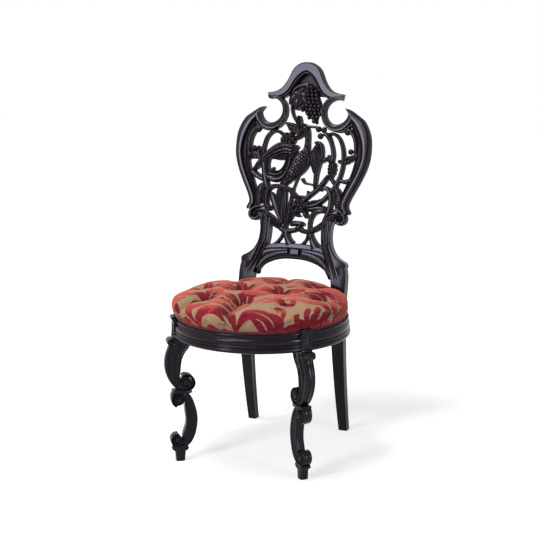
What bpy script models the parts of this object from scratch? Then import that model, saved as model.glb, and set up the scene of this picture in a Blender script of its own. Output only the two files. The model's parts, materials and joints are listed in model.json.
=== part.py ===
"""Carved slipper chair with a pierced back and a round, tufted, sprung seat.

Metres, +Z up.  The chair faces -Y and stands on Z = 0, with the origin under the middle of its box.
Outlines are drawn in millimetres.  On the back they run across the board and up along it, and on a
front leg they run outwards from the seat's axis and upwards.
"""

import math

import bmesh
import bpy
import numpy as np
from mathutils import Matrix, Vector
from mathutils.bvhtree import BVHTree

MM = 0.001
CLEARANCE = 0.0003
SOFT_CORNER = 60.0
ROD_CORNER = 40.0
MOULDING_CORNER = 30.0
CARVING_CORNER = 50.0
SIDES = ((1, "right"), (-1, "left"))

# Seat ring
SEAT_CENTRE_Y = -0.0577
RAIL_RADIUS = 0.2342
RAIL_WIDTH = 0.029
RAIL_BOTTOM = 0.333
RAIL_HEIGHT = 0.048
RAIL_STEPS_PER_TURN = 44
FACET_ALLOWANCE = 1.1
REBATE_WIDTH = 0.014
REBATE_DEPTH = 0.0045

# Face of the seat rail: inset from its radius, and height
RAIL_PROFILE = (
    (0.0035, 0.0), (0.0005, 0.0025), (0.0, 0.006), (0.0015, 0.0095), (0.0035, 0.011),
    (0.0035, 0.0135), (0.0018, 0.0148), (0.0018, 0.0185), (0.0036, 0.0205), (0.0036, 0.033),
    (0.0066, 0.0375), (0.0066, 0.0405), (0.0045, 0.042), (0.0045, 0.046), (0.0065, RAIL_HEIGHT),
)

# Front legs
LEG_ANGLE = math.radians(38.0)
LEG_THICKNESS = 0.033
LEG_FOOT_THICKNESS = 0.026
LEG_DRAWN_RADIUS = 234.2
LEG_DRAWN_WIDTH = 29.0
LEG_DRAWN_HEIGHT = 333.0
LEG_DRAWN_POST = 48.0
LEG_OUTLINE_STEP = 12.0
EYE_PROUD = 0.0025
EYE_SIDES = 14
EYE_ROOT = 0.2
TENON_THICKNESS = 0.010
TENON_HEIGHT = 0.024
TENON_LENGTH = 0.009
TENON_ROOT = 0.006
POST_CUT_BELOW = 0.01
POST_CUT_BEYOND = 0.03

# Back board and rear legs
BACK_RAKE = math.radians(10.64)
STILE_BITE = 0.0075641
BACK_THICKNESS = 0.031
BACK_HEIGHT = 0.6493
BACK_DRAWN_DATUM = 387.7
BACK_DRAWN_TOP = 1037.0
BACK_OUTLINE_STEP = 14.0
EDGE_CHAMFER = 0.0026
CHAMFER_CORNER = 55.0
STILE_SPRING = 0.400
STILE_BLEND = 0.006
SABRE_SWEEP = 0.1256
SABRE_POWER = 1.4
REAR_LEG_STEPS = 9
REAR_FOOT_INNER = 0.127
REAR_FOOT_OUTER = 0.151
REAR_FOOT_DEPTH = 0.024
LOWER_RAIL_THICKNESS = 0.026
LOWER_TENON_HEIGHT = 0.030
LOWER_TENON_LENGTH = 0.014
TABLET_PROUD = 0.002
TABLET_ROOT = 0.004
CREST_PANEL_THICKNESS = 0.007
DOWEL_RADIUS = 0.0035
DOWEL_LENGTH = 0.028
DOWEL_SIDES = 12

# Openwork splat
CARVING_STEP = 17.0
CARVING_DEPTH = 1.45
CARVING_KEEP = 0.5
CARVING_LEAST = 1.5
STEM_WEAVE = 1.4
STEM_WEAVE_TURN = 2.4
FORM_WEAVE = 0.56
BALL_SIDES = 7
BALL_RINGS = 5
BALL_TIP = 0.2
BALL_TURN = 0.3
GRAPE_RADIUS = 9.0
GRAPE_PITCH = 15.4

# Upholstery
CUSHION_HEIGHT = 0.068
COVER_INSET = 0.0057
COVER_FOOT_INSET = 0.0170
COVER_BULGE_HEIGHT = 0.027
COVER_THICKNESS = 0.002
COVER_SIDES = 40
COVER_CROWN_RINGS = 10
COVER_SIDE_RINGS = 3
CROWN_FLATNESS = 0.9
CROWN_SHOULDER = 0.62
CROWN_FADE = 0.45
TUFT_PITCH = 0.108
TUFT_ROW = 0.112
TUFT_DEPTH = 0.021
TUFT_SPREAD = 0.021
PLEAT_DEPTH = 0.005
PLEAT_SPREAD = 0.013
PLEAT_REACH = 1.15
BUTTON_RADIUS = 0.0085
BUTTON_HEIGHT = 0.0045
BUTTON_SIDES = 10
BUTTON_SECTION = ((1.0, 0.0), (1.0, 0.45), (0.62, 0.9))
BUTTON_PROBES = (0.5, 1.05)
BUTTON_PROBE_HEIGHT = 0.5
WELT_RADIUS = 0.0042
WELT_SIDES = 6
HESSIAN_THICKNESS = 0.0012
HESSIAN_CROWN = 0.014
DOME_RADII = (0.07, 0.14)
SPRING_COUNT = 5
SPRING_CIRCLE = 0.092
SPRING_END_RADIUS = 0.036
SPRING_WAIST_RADIUS = 0.026
SPRING_WIRE = 0.0017
SPRING_TURNS = 3
SPRING_POINTS_PER_TURN = 8
WEBBING_WIDTH = 0.050
WEBBING_PITCH = 0.080
WEBBING_THICKNESS = 0.0014
WEBBING_WEAVE = 0.00095
WEBBING_END_GAP = 0.002
DUST_COVER_THICKNESS = 0.0006
BLOCK_DEPTH = 0.034
BLOCK_HALF_ANGLE = math.radians(9.0)
BLOCK_STEPS = 4
BLOCK_TOP_DROP = 0.008

RAIL_TOP = RAIL_BOTTOM + RAIL_HEIGHT
RAIL_INNER = RAIL_RADIUS - RAIL_WIDTH
COVER_RADIUS = RAIL_RADIUS - COVER_INSET
COVER_FOOT_RADIUS = RAIL_RADIUS - COVER_FOOT_INSET
LEG_UNIT = RAIL_BOTTOM / LEG_DRAWN_HEIGHT
LEG_WIDTH_UNIT = RAIL_WIDTH / LEG_DRAWN_WIDTH
POST_UNIT = RAIL_HEIGHT / LEG_DRAWN_POST
BACK_UNIT = BACK_HEIGHT / (BACK_DRAWN_TOP - BACK_DRAWN_DATUM)
SEAT_AXIS = Matrix.Translation((0.0, SEAT_CENTRE_Y, 0.0))
# The stile's foot on the drawing (up, inner, outer); its inner front corner bites into the rail's face
STILE_FOOT = (430.0, 117.0, 158.0)
STILE_FRONT = math.sqrt((RAIL_RADIUS - STILE_BITE) ** 2 - (STILE_FOOT[1] * BACK_UNIT) ** 2)
BACK_AT_RAIL = (SEAT_CENTRE_Y + STILE_FRONT + 0.5 * BACK_THICKNESS
                + 0.5 * RAIL_HEIGHT * math.tan(BACK_RAKE))
BOARD = Matrix.Translation((0.0, BACK_AT_RAIL, RAIL_TOP)) @ Matrix.Rotation(-BACK_RAKE, 4, "X")

# Front leg outline, outwards and up, each row a smooth run between corners
LEG_POST_RUNS = (
    ((205.2, 381.0), (229.0, 381.0)),
    ((229.0, 381.0), (233.5, 390.5), (238.5, 388.0), (239.5, 381.5), (236.5, 375.0), (233.6, 371.0)),
    ((233.6, 371.0), (234.2, 354.0), (236.0, 339.0)),
    ((236.0, 339.0), (241.5, 334.5), (248.0, 331.5), (250.5, 323.5), (248.5, 315.0), (245.0, 309.0)),
)
LEG_SCROLL_RUNS = (
    ((245.0, 309.0), (250.5, 297.0), (255.0, 282.0), (257.0, 263.0), (255.5, 245.0), (250.0, 228.0),
     (243.0, 214.0), (234.5, 201.0)),
    ((234.5, 201.0), (234.0, 194.0), (237.0, 189.0)),
    ((237.0, 189.0), (242.0, 180.0), (242.5, 167.0), (239.0, 155.0), (232.0, 146.5)),
    ((232.0, 146.5), (222.0, 145.0), (213.0, 140.0), (206.5, 128.0), (204.0, 111.0), (205.0, 96.0),
     (209.0, 83.0), (216.5, 72.0)),
    ((216.5, 72.0), (224.0, 76.0), (233.0, 76.5), (241.0, 71.0), (245.0, 60.0), (243.0, 48.0),
     (238.5, 41.0)),
    ((238.5, 41.0), (242.0, 36.5), (241.0, 30.5), (234.0, 26.5)),
    ((234.0, 26.5), (232.0, 0.0)),
    ((232.0, 0.0), (206.0, 0.0)),
    ((206.0, 0.0), (204.5, 25.5)),
    ((204.5, 25.5), (198.5, 28.5), (196.5, 34.0), (198.5, 40.5)),
    ((198.5, 40.5), (190.0, 50.0), (181.0, 67.0), (175.5, 88.0), (173.0, 110.0), (175.0, 132.0),
     (181.0, 153.0), (190.5, 176.0)),
    ((190.5, 176.0), (188.0, 183.0), (187.5, 192.0)),
    ((187.5, 192.0), (180.5, 200.0), (178.0, 210.0), (181.0, 222.0), (189.0, 232.5), (201.0, 239.0),
     (213.5, 240.5)),
    ((213.5, 240.5), (215.0, 257.0), (212.5, 275.0), (205.0, 292.0), (195.0, 304.0), (188.0, 318.0),
     (186.0, 332.7)),
    ((186.0, 332.7), (205.2, 332.7)),
    ((205.2, 332.7), (205.2, 381.0)),
)
LEG_EYES = ((203.5, 213.5, 15.5), (221.5, 165.0, 12.5), (226.5, 57.5, 12.0))

# Back outlines, right half, across and up the board
CREST_OUTER = ((0.0, BACK_DRAWN_TOP), (14.0, 1035.5), (27.0, 1029.5), (37.5, 1020.0), (44.5, 1008.0),
               (51.0, 993.0), (59.0, 979.0), (70.0, 965.5), (84.0, 956.5), (111.0, 950.5))
EAR_UNDERSIDE = ((111.0, 950.5), (104.0, 941.0), (90.0, 934.0))
NOTCH_CENTRE = (96.5, 901.5)
NOTCH_RADIUS = 33.5
NOTCH_CREST_ARC = (101.0, 269.0)
NOTCH_HOOP_ARC = (276.0, 372.0)
CREST_JOINT = 97.0
CREST_LOWER = ((97.0, 847.5), (84.0, 849.0), (71.0, 857.0), (60.0, 870.0), (54.0, 885.0),
               (51.5, 900.0), (53.0, 915.0), (58.0, 941.0))
CREST_ARCH = ((58.0, 941.0), (51.0, 946.5), (41.0, 958.5), (31.0, 974.0), (21.0, 988.5),
              (11.0, 998.0), (0.0, 1003.5))
PANEL_FOOT = 945.0
PANEL_LET_IN = 6.0
SPIKE_TIP = (118.5, 912.5)
HOOP_OUTER = ((118.5, 912.5), (133.0, 909.0), (149.0, 899.5), (163.0, 890.0), (175.0, 880.0),
              (187.0, 860.0), (195.0, 838.0), (198.0, 812.0), (197.5, 782.0), (192.5, 757.0),
              (184.0, 733.0), (170.0, 703.0), (156.0, 676.0), (147.0, 655.0), (147.0, 643.0),
              (153.0, 630.0))
HOOP_VOLUTE = ((153.0, 630.0), (148.0, 621.5), (141.0, 616.0), (135.5, 606.5), (124.0, 600.8),
               (109.0, 600.0))
HOOP_INNER = ((76.0, 600.0), (81.0, 610.0), (95.0, 617.0), (108.0, 626.0), (116.0, 640.0),
              (119.5, 656.0), (124.0, 671.0), (133.0, 693.0), (142.0, 715.0), (150.0, 738.0),
              (156.0, 763.0), (158.5, 792.0), (156.5, 812.0), (150.0, 827.0), (138.0, 838.0),
              (120.0, 844.0), (97.0, 847.5))
HOOP_EYES = ((132.0, 850.0, 9.5), (128.5, 613.0, 8.6))
STILE_JOINT = 600.0
STILE_EDGES = (STILE_FOOT, (452.0, 113.0, 157.5), (468.0, 106.0, 155.5),
               (487.0, 97.5, 155.0), (495.0, 94.0, 149.0), (503.0, 90.5, 134.0), (514.0, 86.0, 121.0),
               (530.0, 80.5, 111.0), (547.0, 77.5, 105.5), (570.0, 76.0, 103.5), (588.0, 76.0, 105.0),
               (600.0, 76.0, 109.0))
LOWER_RAIL_TOP = ((0.0, 537.0), (30.0, 536.5), (55.0, 534.0))
LOWER_RAIL_UNDER = ((106.0, 446.0), (101.0, 458.0), (90.0, 469.0), (74.0, 479.0), (50.0, 487.5),
                    (25.0, 492.0), (0.0, 493.0))
TABLET = (4.0, 513.0, 11.0, 8.0)
CREST_DOWEL = 858.0
STILE_DOWEL = 92.0
LOWER_TENON = 500.0
LOWER_RAIL_CHEEK = (538.0, 530.0, 514.0, 503.0, 487.0, 468.0, 452.0)
WINDOW_CHEEK = (538.0, 547.0, 570.0, 588.0)

# Scrolls and stems of the splat: half width, then the points that the stem runs through
STEMS = (
    (6.0, ((-90, 664), (-97, 690), (-105, 718), (-111, 748), (-115, 780), (-113, 803), (-104, 826),
           (-88, 842), (-68, 843), (-54, 834))),
    (8.0, ((-97, 757), (-97, 737), (-87, 722), (-69, 716), (-50, 728), (-39, 750), (-32, 776),
           (-20, 792))),
    (4.0, ((-99, 750), (-91, 758), (-81, 752), (-80, 742))),
    (7.0, ((-84, 622), (-92, 643), (-98, 668), (-94, 685), (-79, 695), (-60, 696), (-42, 690),
           (-24, 679), (4, 660))),
    (6.0, ((-142, 606), (-112, 614), (-95, 610), (-80, 600), (-65, 588), (-50, 578), (-35, 571),
           (-17, 569), (2, 574), (12, 586))),
    (6.0, ((142, 606), (114, 612), (100, 604), (85, 595), (70, 586), (55, 577), (40, 572),
           (24, 571), (10, 577), (0, 589))),
    (5.8, ((42, 572), (41, 592), (45, 613), (57, 629), (75, 635), (92, 628))),
    (6.0, ((55, 688), (71, 696), (86, 690), (95, 673), (98, 650), (95, 629), (85, 598))),
    (7.0, ((8, 648), (25, 664), (43, 680), (62, 692))),
    (6.2, ((12, 640), (40, 646), (66, 659), (88, 676), (106, 703), (117, 728), (123, 752), (124, 782),
           (121, 804), (113, 823), (100, 838), (84, 843), (70, 837))),
    (6.0, ((94, 758), (98, 780), (95, 802), (85, 822), (69, 837), (54, 843))),
    (4.8, ((106, 704), (124, 712), (146, 723), (170, 752))),
    (4.8, ((-104, 712), (-122, 720), (-144, 730), (-172, 756))),
    (4.5, ((-32, 570), (-26, 553), (-14, 528))),
    (4.5, ((-32, 570), (-43, 549), (-66, 524))),
    (4.5, ((44, 570), (36, 553), (21, 528))),
    (4.5, ((44, 570), (56, 549), (76, 524))),
    (6.5, ((-34, 570), (-27, 598), (-18, 622), (0, 644))),
    (3.2, ((4, 702), (30, 703), (56, 699), (72, 696))),
    (3.6, ((-36, 928), (-36, 904), (-26, 882), (-8, 866))),
    (2.8, ((-126, 774), (-138, 794))),
    (2.8, ((128, 776), (142, 796))),
)

# Tapered forms of the splat, as points with their own half widths, then depth factor and lift
BIRD = (
    (1.0, -5.0, ((-30, 714, 9), (-14, 732, 17), (4, 756, 20), (18, 780, 14), (18, 803, 10),
                 (15, 828, 9), (7, 850, 10), (1, 862, 10), (-3, 868, 4))),
    (1.0, -5.0, ((4, 862, 5), (18, 863, 2.6), (44, 860, 2.0))),
    (0.8, -3.0, ((-22, 724, 9), (-38, 711, 10), (-58, 698, 4))),
    (0.8, -4.0, ((18, 790, 9), (40, 816, 7), (56, 804, 11), (61, 780, 12), (57, 748, 10),
                 (50, 718, 8), (43, 688, 3))),
    (0.6, -2.0, ((2, 780, 11), (-30, 790, 17), (-62, 790, 20), (-94, 775, 16), (-118, 752, 10),
                 (-140, 728, 3))),
    (1.0, -5.0, ((10, 745, 6), (19, 722, 4), (23, 702, 4))),
)
LEAVES = (
    (0.7, -2.0, ((-38, 574, 5), (-46, 612, 11), (-55, 646, 19), (-60, 672, 20), (-61, 692, 9))),
    (0.7, -3.0, ((-96, 700, 5), (-104, 676, 10), (-112, 656, 10), (-124, 630, 4))),
    (0.7, -3.0, ((98, 700, 5), (105, 676, 10), (113, 656, 10), (125, 630, 4))),
    (0.7, -3.0, ((98, 774, 5), (118, 780, 10), (140, 779, 9), (166, 770, 3))),
    (0.7, -3.0, ((-108, 770, 5), (-126, 776, 9), (-144, 776, 9), (-166, 768, 3))),
    (0.7, -4.0, ((72, 792, 3), (86, 770, 12), (96, 750, 13), (93, 720, 3))),
    (0.7, -3.0, ((82, 734, 2.5), (77, 718, 7), (73, 697, 3))),
    (0.7, -3.0, ((-106, 724, 3), (-126, 715, 7), (-150, 700, 2.5))),
    (0.7, -3.0, ((-14, 858, 6), (-36, 857, 9), (-58, 850, 3))),
    (0.8, -4.0, ((-2, 862, 7), (-14, 874, 11), (-18, 892, 5))),
    (0.5, -1.0, ((16, 972, 4), (-6, 954, 17), (-22, 936, 15), (-40, 914, 3))),
    (0.5, -1.0, ((-4, 950, 10), (-24, 958, 9), (-44, 962, 3))),
    (0.6, -2.0, ((14, 962, 8), (18, 930, 15), (22, 908, 14), (32, 878, 6))),
)
BERRIES = (
    (50, 856, 9), (65, 852, 9), (56, 836, 9), (142, 797, 8), (155, 784, 9), (-138, 796, 9),
    (-156, 778, 9),
)
BERRY_LIFT = -6.0
FLOWERS = ((-42, 822, 19), (5, 645, 19))
HEART_SIZE = 0.55
HEART_LIFT = -9.0
PETALS = 5
PETAL_TURN = 0.4
PETAL_REACH = 0.6
PETAL_SIZE = 0.5
PETAL_LIFT = -5.0
GRAPE_ROWS = ((956, 14, 2), (942, 16, 3), (928, 18, 4), (914, 21, 4), (900, 25, 3), (886, 29, 2),
              (873, 33, 1))
GRAPE_LIFT = -5.0
GRAPE_FRONT = 4.0
GRAPE_STAGGER = 1.1
GRAPE_BOSS = (14.0, 958.0, 7.0)
GRAPE_BOSS_ROOT = 0.4


def clear_scene():
    """Remove every object that the file opened with."""
    for item in list(bpy.data.objects):
        bpy.data.objects.remove(item, do_unlink=True)


def new_collection(name):
    """Add a collection to the scene and return it."""
    group = bpy.data.collections.new(name)
    bpy.context.scene.collection.children.link(group)
    return group


def new_material(name, colour, roughness, metallic=0.0):
    """Return a Principled material of one colour."""
    finish = bpy.data.materials.new(name)
    finish.use_nodes = True
    shader = finish.node_tree.nodes["Principled BSDF"]
    shader.inputs["Base Color"].default_value = (*colour, 1.0)
    shader.inputs["Roughness"].default_value = roughness
    shader.inputs["Metallic"].default_value = metallic
    return finish


def link_mesh(name, mesh, group, finish=None, placing=Matrix.Identity(4)):
    """Make an object of a mesh, in a collection, at a place."""
    item = bpy.data.objects.new(name, mesh)
    if finish is not None and not mesh.materials:
        mesh.materials.append(finish)
    item.matrix_world = placing
    group.objects.link(item)
    return item


def as_cutter(item):
    """Keep an object out of the part and show it as a wire."""
    item.hide_render = True
    item.display_type = "WIRE"
    return item


def mesh_from(bm, name, smooth_angle=None):
    """Turn a bmesh into a mesh whose faces point outwards."""
    bmesh.ops.recalc_face_normals(bm, faces=bm.faces[:])
    mesh = bpy.data.meshes.new(name)
    bm.to_mesh(mesh)
    bm.free()
    if smooth_angle is not None:
        mesh.shade_smooth()
        mesh.set_sharp_from_angle(angle=math.radians(smooth_angle))
    return mesh


def evaluated_mesh(item, name, weld=0.00002):
    """Return the mesh of an object with its modifiers or bevel, its caps welded to its sides."""
    graph = bpy.context.evaluated_depsgraph_get()
    mesh = bpy.data.meshes.new_from_object(item.evaluated_get(graph))
    bm = bmesh.new()
    bm.from_mesh(mesh)
    bpy.data.meshes.remove(mesh)
    if weld:
        bmesh.ops.remove_doubles(bm, verts=bm.verts[:], dist=weld)
    loose = [edge for edge in bm.edges if not edge.link_faces]
    bmesh.ops.delete(bm, geom=loose, context="EDGES")
    return mesh_from(bm, name)


def curve_mesh(data, name):
    """Turn curve data into a closed mesh and drop the curve."""
    item = bpy.data.objects.new(name, data)
    bpy.context.scene.collection.objects.link(item)
    mesh = evaluated_mesh(item, name)
    bpy.data.objects.remove(item, do_unlink=True)
    bpy.data.curves.remove(data)
    return mesh


def boolean(item, other, operation):
    """Cut, join or cross an object with another one."""
    step = item.modifiers.new(operation.title(), "BOOLEAN")
    step.operation = operation
    step.object = other
    step.solver = "EXACT"


def smooth_run(points, step):
    """Points of a smooth curve through the given points, about one step apart."""
    knots = [Vector(point) for point in points]
    if len(knots) == 2:
        return knots
    ends = [2 * knots[0] - knots[1], *knots, 2 * knots[-1] - knots[-2]]
    run = [knots[0]]
    for before, start, end, after in zip(ends, ends[1:], ends[2:], ends[3:]):
        count = max(1, round((end - start).length / step))
        for index in range(1, count + 1):
            t = index / count
            run.append(0.5 * (2 * start + (end - before) * t
                              + (2 * before - 5 * start + 4 * end - after) * t * t
                              + (3 * start - before - 3 * end + after) * t ** 3))
    return run


def joined_runs(runs, step):
    """One closed outline from smooth runs that meet at corners."""
    outline = []
    for points in runs:
        outline.extend(smooth_run(points, step)[:-1])
    return outline


def flat_board(outline, thickness, name, offset=0.0):
    """Saw an outline out of a board that stands in the XZ plane."""
    data = bpy.data.curves.new(name, "CURVE")
    data.dimensions = "2D"
    data.fill_mode = "BOTH"
    data.extrude = 0.5 * thickness
    data.offset = offset
    spline = data.splines.new("POLY")
    spline.points.add(len(outline) - 1)
    spline.use_cyclic_u = True
    for point, (across, up) in zip(spline.points, outline):
        point.co = (across, up, 0.0, 1.0)
    mesh = curve_mesh(data, name)
    mesh.transform(Matrix.Rotation(math.pi / 2, 4, "X"))
    return mesh


def on_board(outline):
    """Bring a back outline to size, with its heights measured from the top of the seat rail."""
    return [(across * BACK_UNIT, (up - BACK_DRAWN_DATUM) * BACK_UNIT) for across, up in outline]


def loft(rings, name):
    """Skin a row of closed rings and cap both ends."""
    bm = bmesh.new()
    loops = [[bm.verts.new(point) for point in ring] for ring in rings]
    for lower, upper in zip(loops, loops[1:]):
        for index in range(len(lower)):
            after = (index + 1) % len(lower)
            bm.faces.new((lower[index], lower[after], upper[after], upper[index]))
    bm.faces.new(reversed(loops[0]))
    bm.faces.new(loops[-1])
    return mesh_from(bm, name)


def block(low, high, name):
    """A box between two corners."""
    bm = bmesh.new()
    middle = [(a + b) / 2 for a, b in zip(low, high)]
    size = [b - a for a, b in zip(low, high)]
    bmesh.ops.create_cube(bm, size=1.0, matrix=Matrix.Translation(middle) @ Matrix.Diagonal((*size, 1.0)))
    return mesh_from(bm, name)


def rod(start, end, radius, sides, name):
    """A cylinder from one point to another."""
    axis = Vector(end) - Vector(start)
    turn = axis.to_track_quat("Z", "Y").to_matrix().to_4x4()
    placing = Matrix.Translation((Vector(start) + Vector(end)) / 2) @ turn
    bm = bmesh.new()
    bmesh.ops.create_cone(bm, cap_ends=True, segments=sides, radius1=radius, radius2=radius,
                          depth=axis.length, matrix=placing)
    return mesh_from(bm, name, ROD_CORNER)


def ring_segment(section, start, sweep, steps, name):
    """Carry a section round the seat's axis through an angle."""
    bm = bmesh.new()
    corners = [bm.verts.new((radius * math.cos(start), radius * math.sin(start), height))
               for radius, height in section]
    face = bm.faces.new(corners)
    bmesh.ops.spin(bm, geom=[face, *face.edges, *face.verts], axis=(0.0, 0.0, 1.0), cent=(0.0, 0.0, 0.0),
                   angle=sweep, steps=steps, use_duplicate=False)
    return mesh_from(bm, name, MOULDING_CORNER)


def rail_section():
    """Moulded section of the seat rail: bead, fillet, broad band, hollow and top fillet."""
    rebate = RAIL_INNER + REBATE_WIDTH
    section = [(RAIL_RADIUS - inset, RAIL_BOTTOM + height) for inset, height in RAIL_PROFILE]
    section.append((RAIL_INNER, RAIL_TOP))
    section.append((RAIL_INNER, RAIL_BOTTOM + REBATE_DEPTH))
    section.append((rebate, RAIL_BOTTOM + REBATE_DEPTH))
    section.append((rebate, RAIL_BOTTOM))
    return section


def inside_facets(radius):
    """Radius that clears the flats of a ring whose corners lie on a circle."""
    return radius * math.cos(FACET_ALLOWANCE * math.pi / RAIL_STEPS_PER_TURN) - CLEARANCE


def leg_frame(side):
    """Frame of a front leg: outwards along X, with its origin on the seat's axis."""
    angle = -LEG_ANGLE if side > 0 else math.pi + LEG_ANGLE
    return SEAT_AXIS @ Matrix.Rotation(angle, 4, "Z")


def leg_post_box(grow):
    """Corners of the leg's post where it stands between the rails."""
    half = 0.5 * LEG_THICKNESS + grow
    low = (RAIL_INNER - grow, -half, RAIL_BOTTOM - POST_CUT_BELOW)
    return low, (RAIL_RADIUS + POST_CUT_BEYOND, half, RAIL_TOP + POST_CUT_BEYOND)


def tenon_box(side, grow):
    """Corners of the rail tenon that enters one cheek of a leg's post."""
    middle = RAIL_INNER + 0.5 * RAIL_WIDTH
    half = 0.5 * TENON_THICKNESS + grow
    cheek = 0.5 * LEG_THICKNESS
    ends = sorted((side * (cheek - TENON_LENGTH - grow), side * (cheek + TENON_ROOT)))
    height = RAIL_BOTTOM + 0.5 * RAIL_HEIGHT
    rise = 0.5 * TENON_HEIGHT + grow
    return ((middle - half, ends[0], height - rise), (middle + half, ends[1], height + rise))


def rear_stile_corner():
    """Angle, seen from the seat's axis, of the stile's inner front corner at the rail."""
    return math.atan2(STILE_FRONT, STILE_FOOT[1] * BACK_UNIT)


def rear_leg_rings(side, grow=0.0):
    """Rings of a rear leg, from the foot up the sabre curve and along the stile to the hoop."""
    rings = []
    spring = on_board([(0.0, STILE_FOOT[0])])[0][1]
    board_line = BACK_AT_RAIL - RAIL_TOP * math.tan(BACK_RAKE)
    stile_inner = STILE_FOOT[1] * BACK_UNIT
    stile_outer = STILE_FOOT[2] * BACK_UNIT
    front_drop = 0.5 * BACK_THICKNESS * math.sin(BACK_RAKE)
    top = RAIL_TOP + spring * math.cos(BACK_RAKE) - front_drop - STILE_BLEND
    for index in range(REAR_LEG_STEPS):
        share = index / (REAR_LEG_STEPS - 1)
        height = share * top
        back = max(0.0, 1.0 - height / STILE_SPRING) ** SABRE_POWER
        middle = board_line + height * math.tan(BACK_RAKE) + SABRE_SWEEP * back
        half = 0.5 * (REAR_FOOT_DEPTH + (BACK_THICKNESS - REAR_FOOT_DEPTH) * share) + grow
        inner = REAR_FOOT_INNER + (stile_inner - REAR_FOOT_INNER) * share - grow
        outer = REAR_FOOT_OUTER + (stile_outer - REAR_FOOT_OUTER) * share + grow
        rings.append([(side * inner, middle - half, height), (side * outer, middle - half, height),
                      (side * outer, middle + half, height), (side * inner, middle + half, height)])
    half = 0.5 * BACK_THICKNESS + grow
    for up, inner, outer in STILE_EDGES:
        level = (up - BACK_DRAWN_DATUM) * BACK_UNIT - (CLEARANCE if up == STILE_JOINT else 0.0)
        corners = ((inner * BACK_UNIT - grow, -half), (outer * BACK_UNIT + grow, -half),
                   (outer * BACK_UNIT + grow, half), (inner * BACK_UNIT - grow, half))
        rings.append([BOARD @ Vector((side * across, depth, level)) for across, depth in corners])
    return rings


def chamfer_edges(item, width):
    """Break the long edges of a sawn piece."""
    step = item.modifiers.new("Chamfer", "BEVEL")
    step.width = width
    step.segments = 1
    step.limit_method = "ANGLE"
    step.angle_limit = math.radians(CHAMFER_CORNER)


def board_rod(across, up, depths, radius, name):
    """A round boss that stands through the back board, between two depths."""
    level = (up - BACK_DRAWN_DATUM) * BACK_UNIT
    start = (across * BACK_UNIT, depths[0], level)
    end = (across * BACK_UNIT, depths[1], level)
    return rod(start, end, radius * BACK_UNIT, EYE_SIDES, name)


def build_seat_rails(parts, cutters, wood):
    """Four moulded rails, cut round the leg posts and stiles and tenoned to the posts."""
    corner = rear_stile_corner()
    spans = {
        "seat_rail_front": (math.pi + LEG_ANGLE, 2 * math.pi - LEG_ANGLE),
        "seat_rail_right": (-LEG_ANGLE, corner),
        "seat_rail_rear": (corner, math.pi - corner),
        "seat_rail_left": (math.pi - corner, math.pi + LEG_ANGLE),
    }
    section = rail_section()
    gap = 0.5 * CLEARANCE / RAIL_INNER
    rails = {}
    for name, (start, end) in spans.items():
        sweep = end - start - 2 * gap
        steps = max(3, round(sweep / (2 * math.pi) * RAIL_STEPS_PER_TURN))
        mesh = ring_segment(section, start + gap, sweep, steps, name)
        rails[name] = link_mesh(name, mesh, parts, wood, SEAT_AXIS)
    for side, label in SIDES:
        post = block(*leg_post_box(CLEARANCE), f"post_cut_{label}")
        post_cut = as_cutter(link_mesh(f"post_cut_{label}", post, cutters, None, leg_frame(side)))
        stile = loft(rear_leg_rings(side, CLEARANCE), f"stile_cut_{label}")
        stile_cut = as_cutter(link_mesh(f"stile_cut_{label}", stile, cutters))
        for name in ("seat_rail_front", f"seat_rail_{label}"):
            boolean(rails[name], post_cut, "DIFFERENCE")
        for name in ("seat_rail_rear", f"seat_rail_{label}"):
            boolean(rails[name], stile_cut, "DIFFERENCE")
        for turn in (1, -1):
            tenon = block(*tenon_box(turn, 0.0), f"tenon_{label}_{turn}")
            guide = as_cutter(link_mesh(tenon.name, tenon, cutters, None, leg_frame(side)))
            towards_front = turn * side < 0
            boolean(rails["seat_rail_front" if towards_front else f"seat_rail_{label}"], guide, "UNION")


def build_front_legs(parts, cutters, wood):
    """Two scroll legs sawn in profile, with raised volute eyes and mortised posts."""
    def place(across, up):
        post = max(0.0, up - LEG_DRAWN_HEIGHT)
        level = (up - post) * LEG_UNIT + post * POST_UNIT
        return RAIL_RADIUS + (across - LEG_DRAWN_RADIUS) * LEG_WIDTH_UNIT, level

    def thickness(level):
        return LEG_FOOT_THICKNESS + (LEG_THICKNESS - LEG_FOOT_THICKNESS) * min(1.0, level / RAIL_TOP)

    outline = [place(*point) for point in joined_runs(LEG_POST_RUNS + LEG_SCROLL_RUNS, LEG_OUTLINE_STEP)]
    mesh = flat_board(outline, LEG_THICKNESS, "front_leg")
    for vertex in mesh.vertices:
        vertex.co.y *= thickness(vertex.co.z) / LEG_THICKNESS
    for side, label in SIDES:
        leg = link_mesh(f"front_leg_{label}", mesh, parts, wood, leg_frame(side))
        for number, (across, up, radius) in enumerate(LEG_EYES):
            out, level = place(across, up)
            half = 0.5 * thickness(level) + EYE_PROUD
            eye = rod((out, -half, level), (out, half, level), radius * LEG_WIDTH_UNIT, EYE_SIDES,
                      f"leg_eye_{label}_{number}")
            boolean(leg, as_cutter(link_mesh(eye.name, eye, cutters, None, leg_frame(side))), "UNION")
        for turn in (1, -1):
            mortise = block(*tenon_box(turn, CLEARANCE), f"mortise_{label}_{turn}")
            cut = as_cutter(link_mesh(mortise.name, mortise, cutters, None, leg_frame(side)))
            boolean(leg, cut, "DIFFERENCE")


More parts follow.
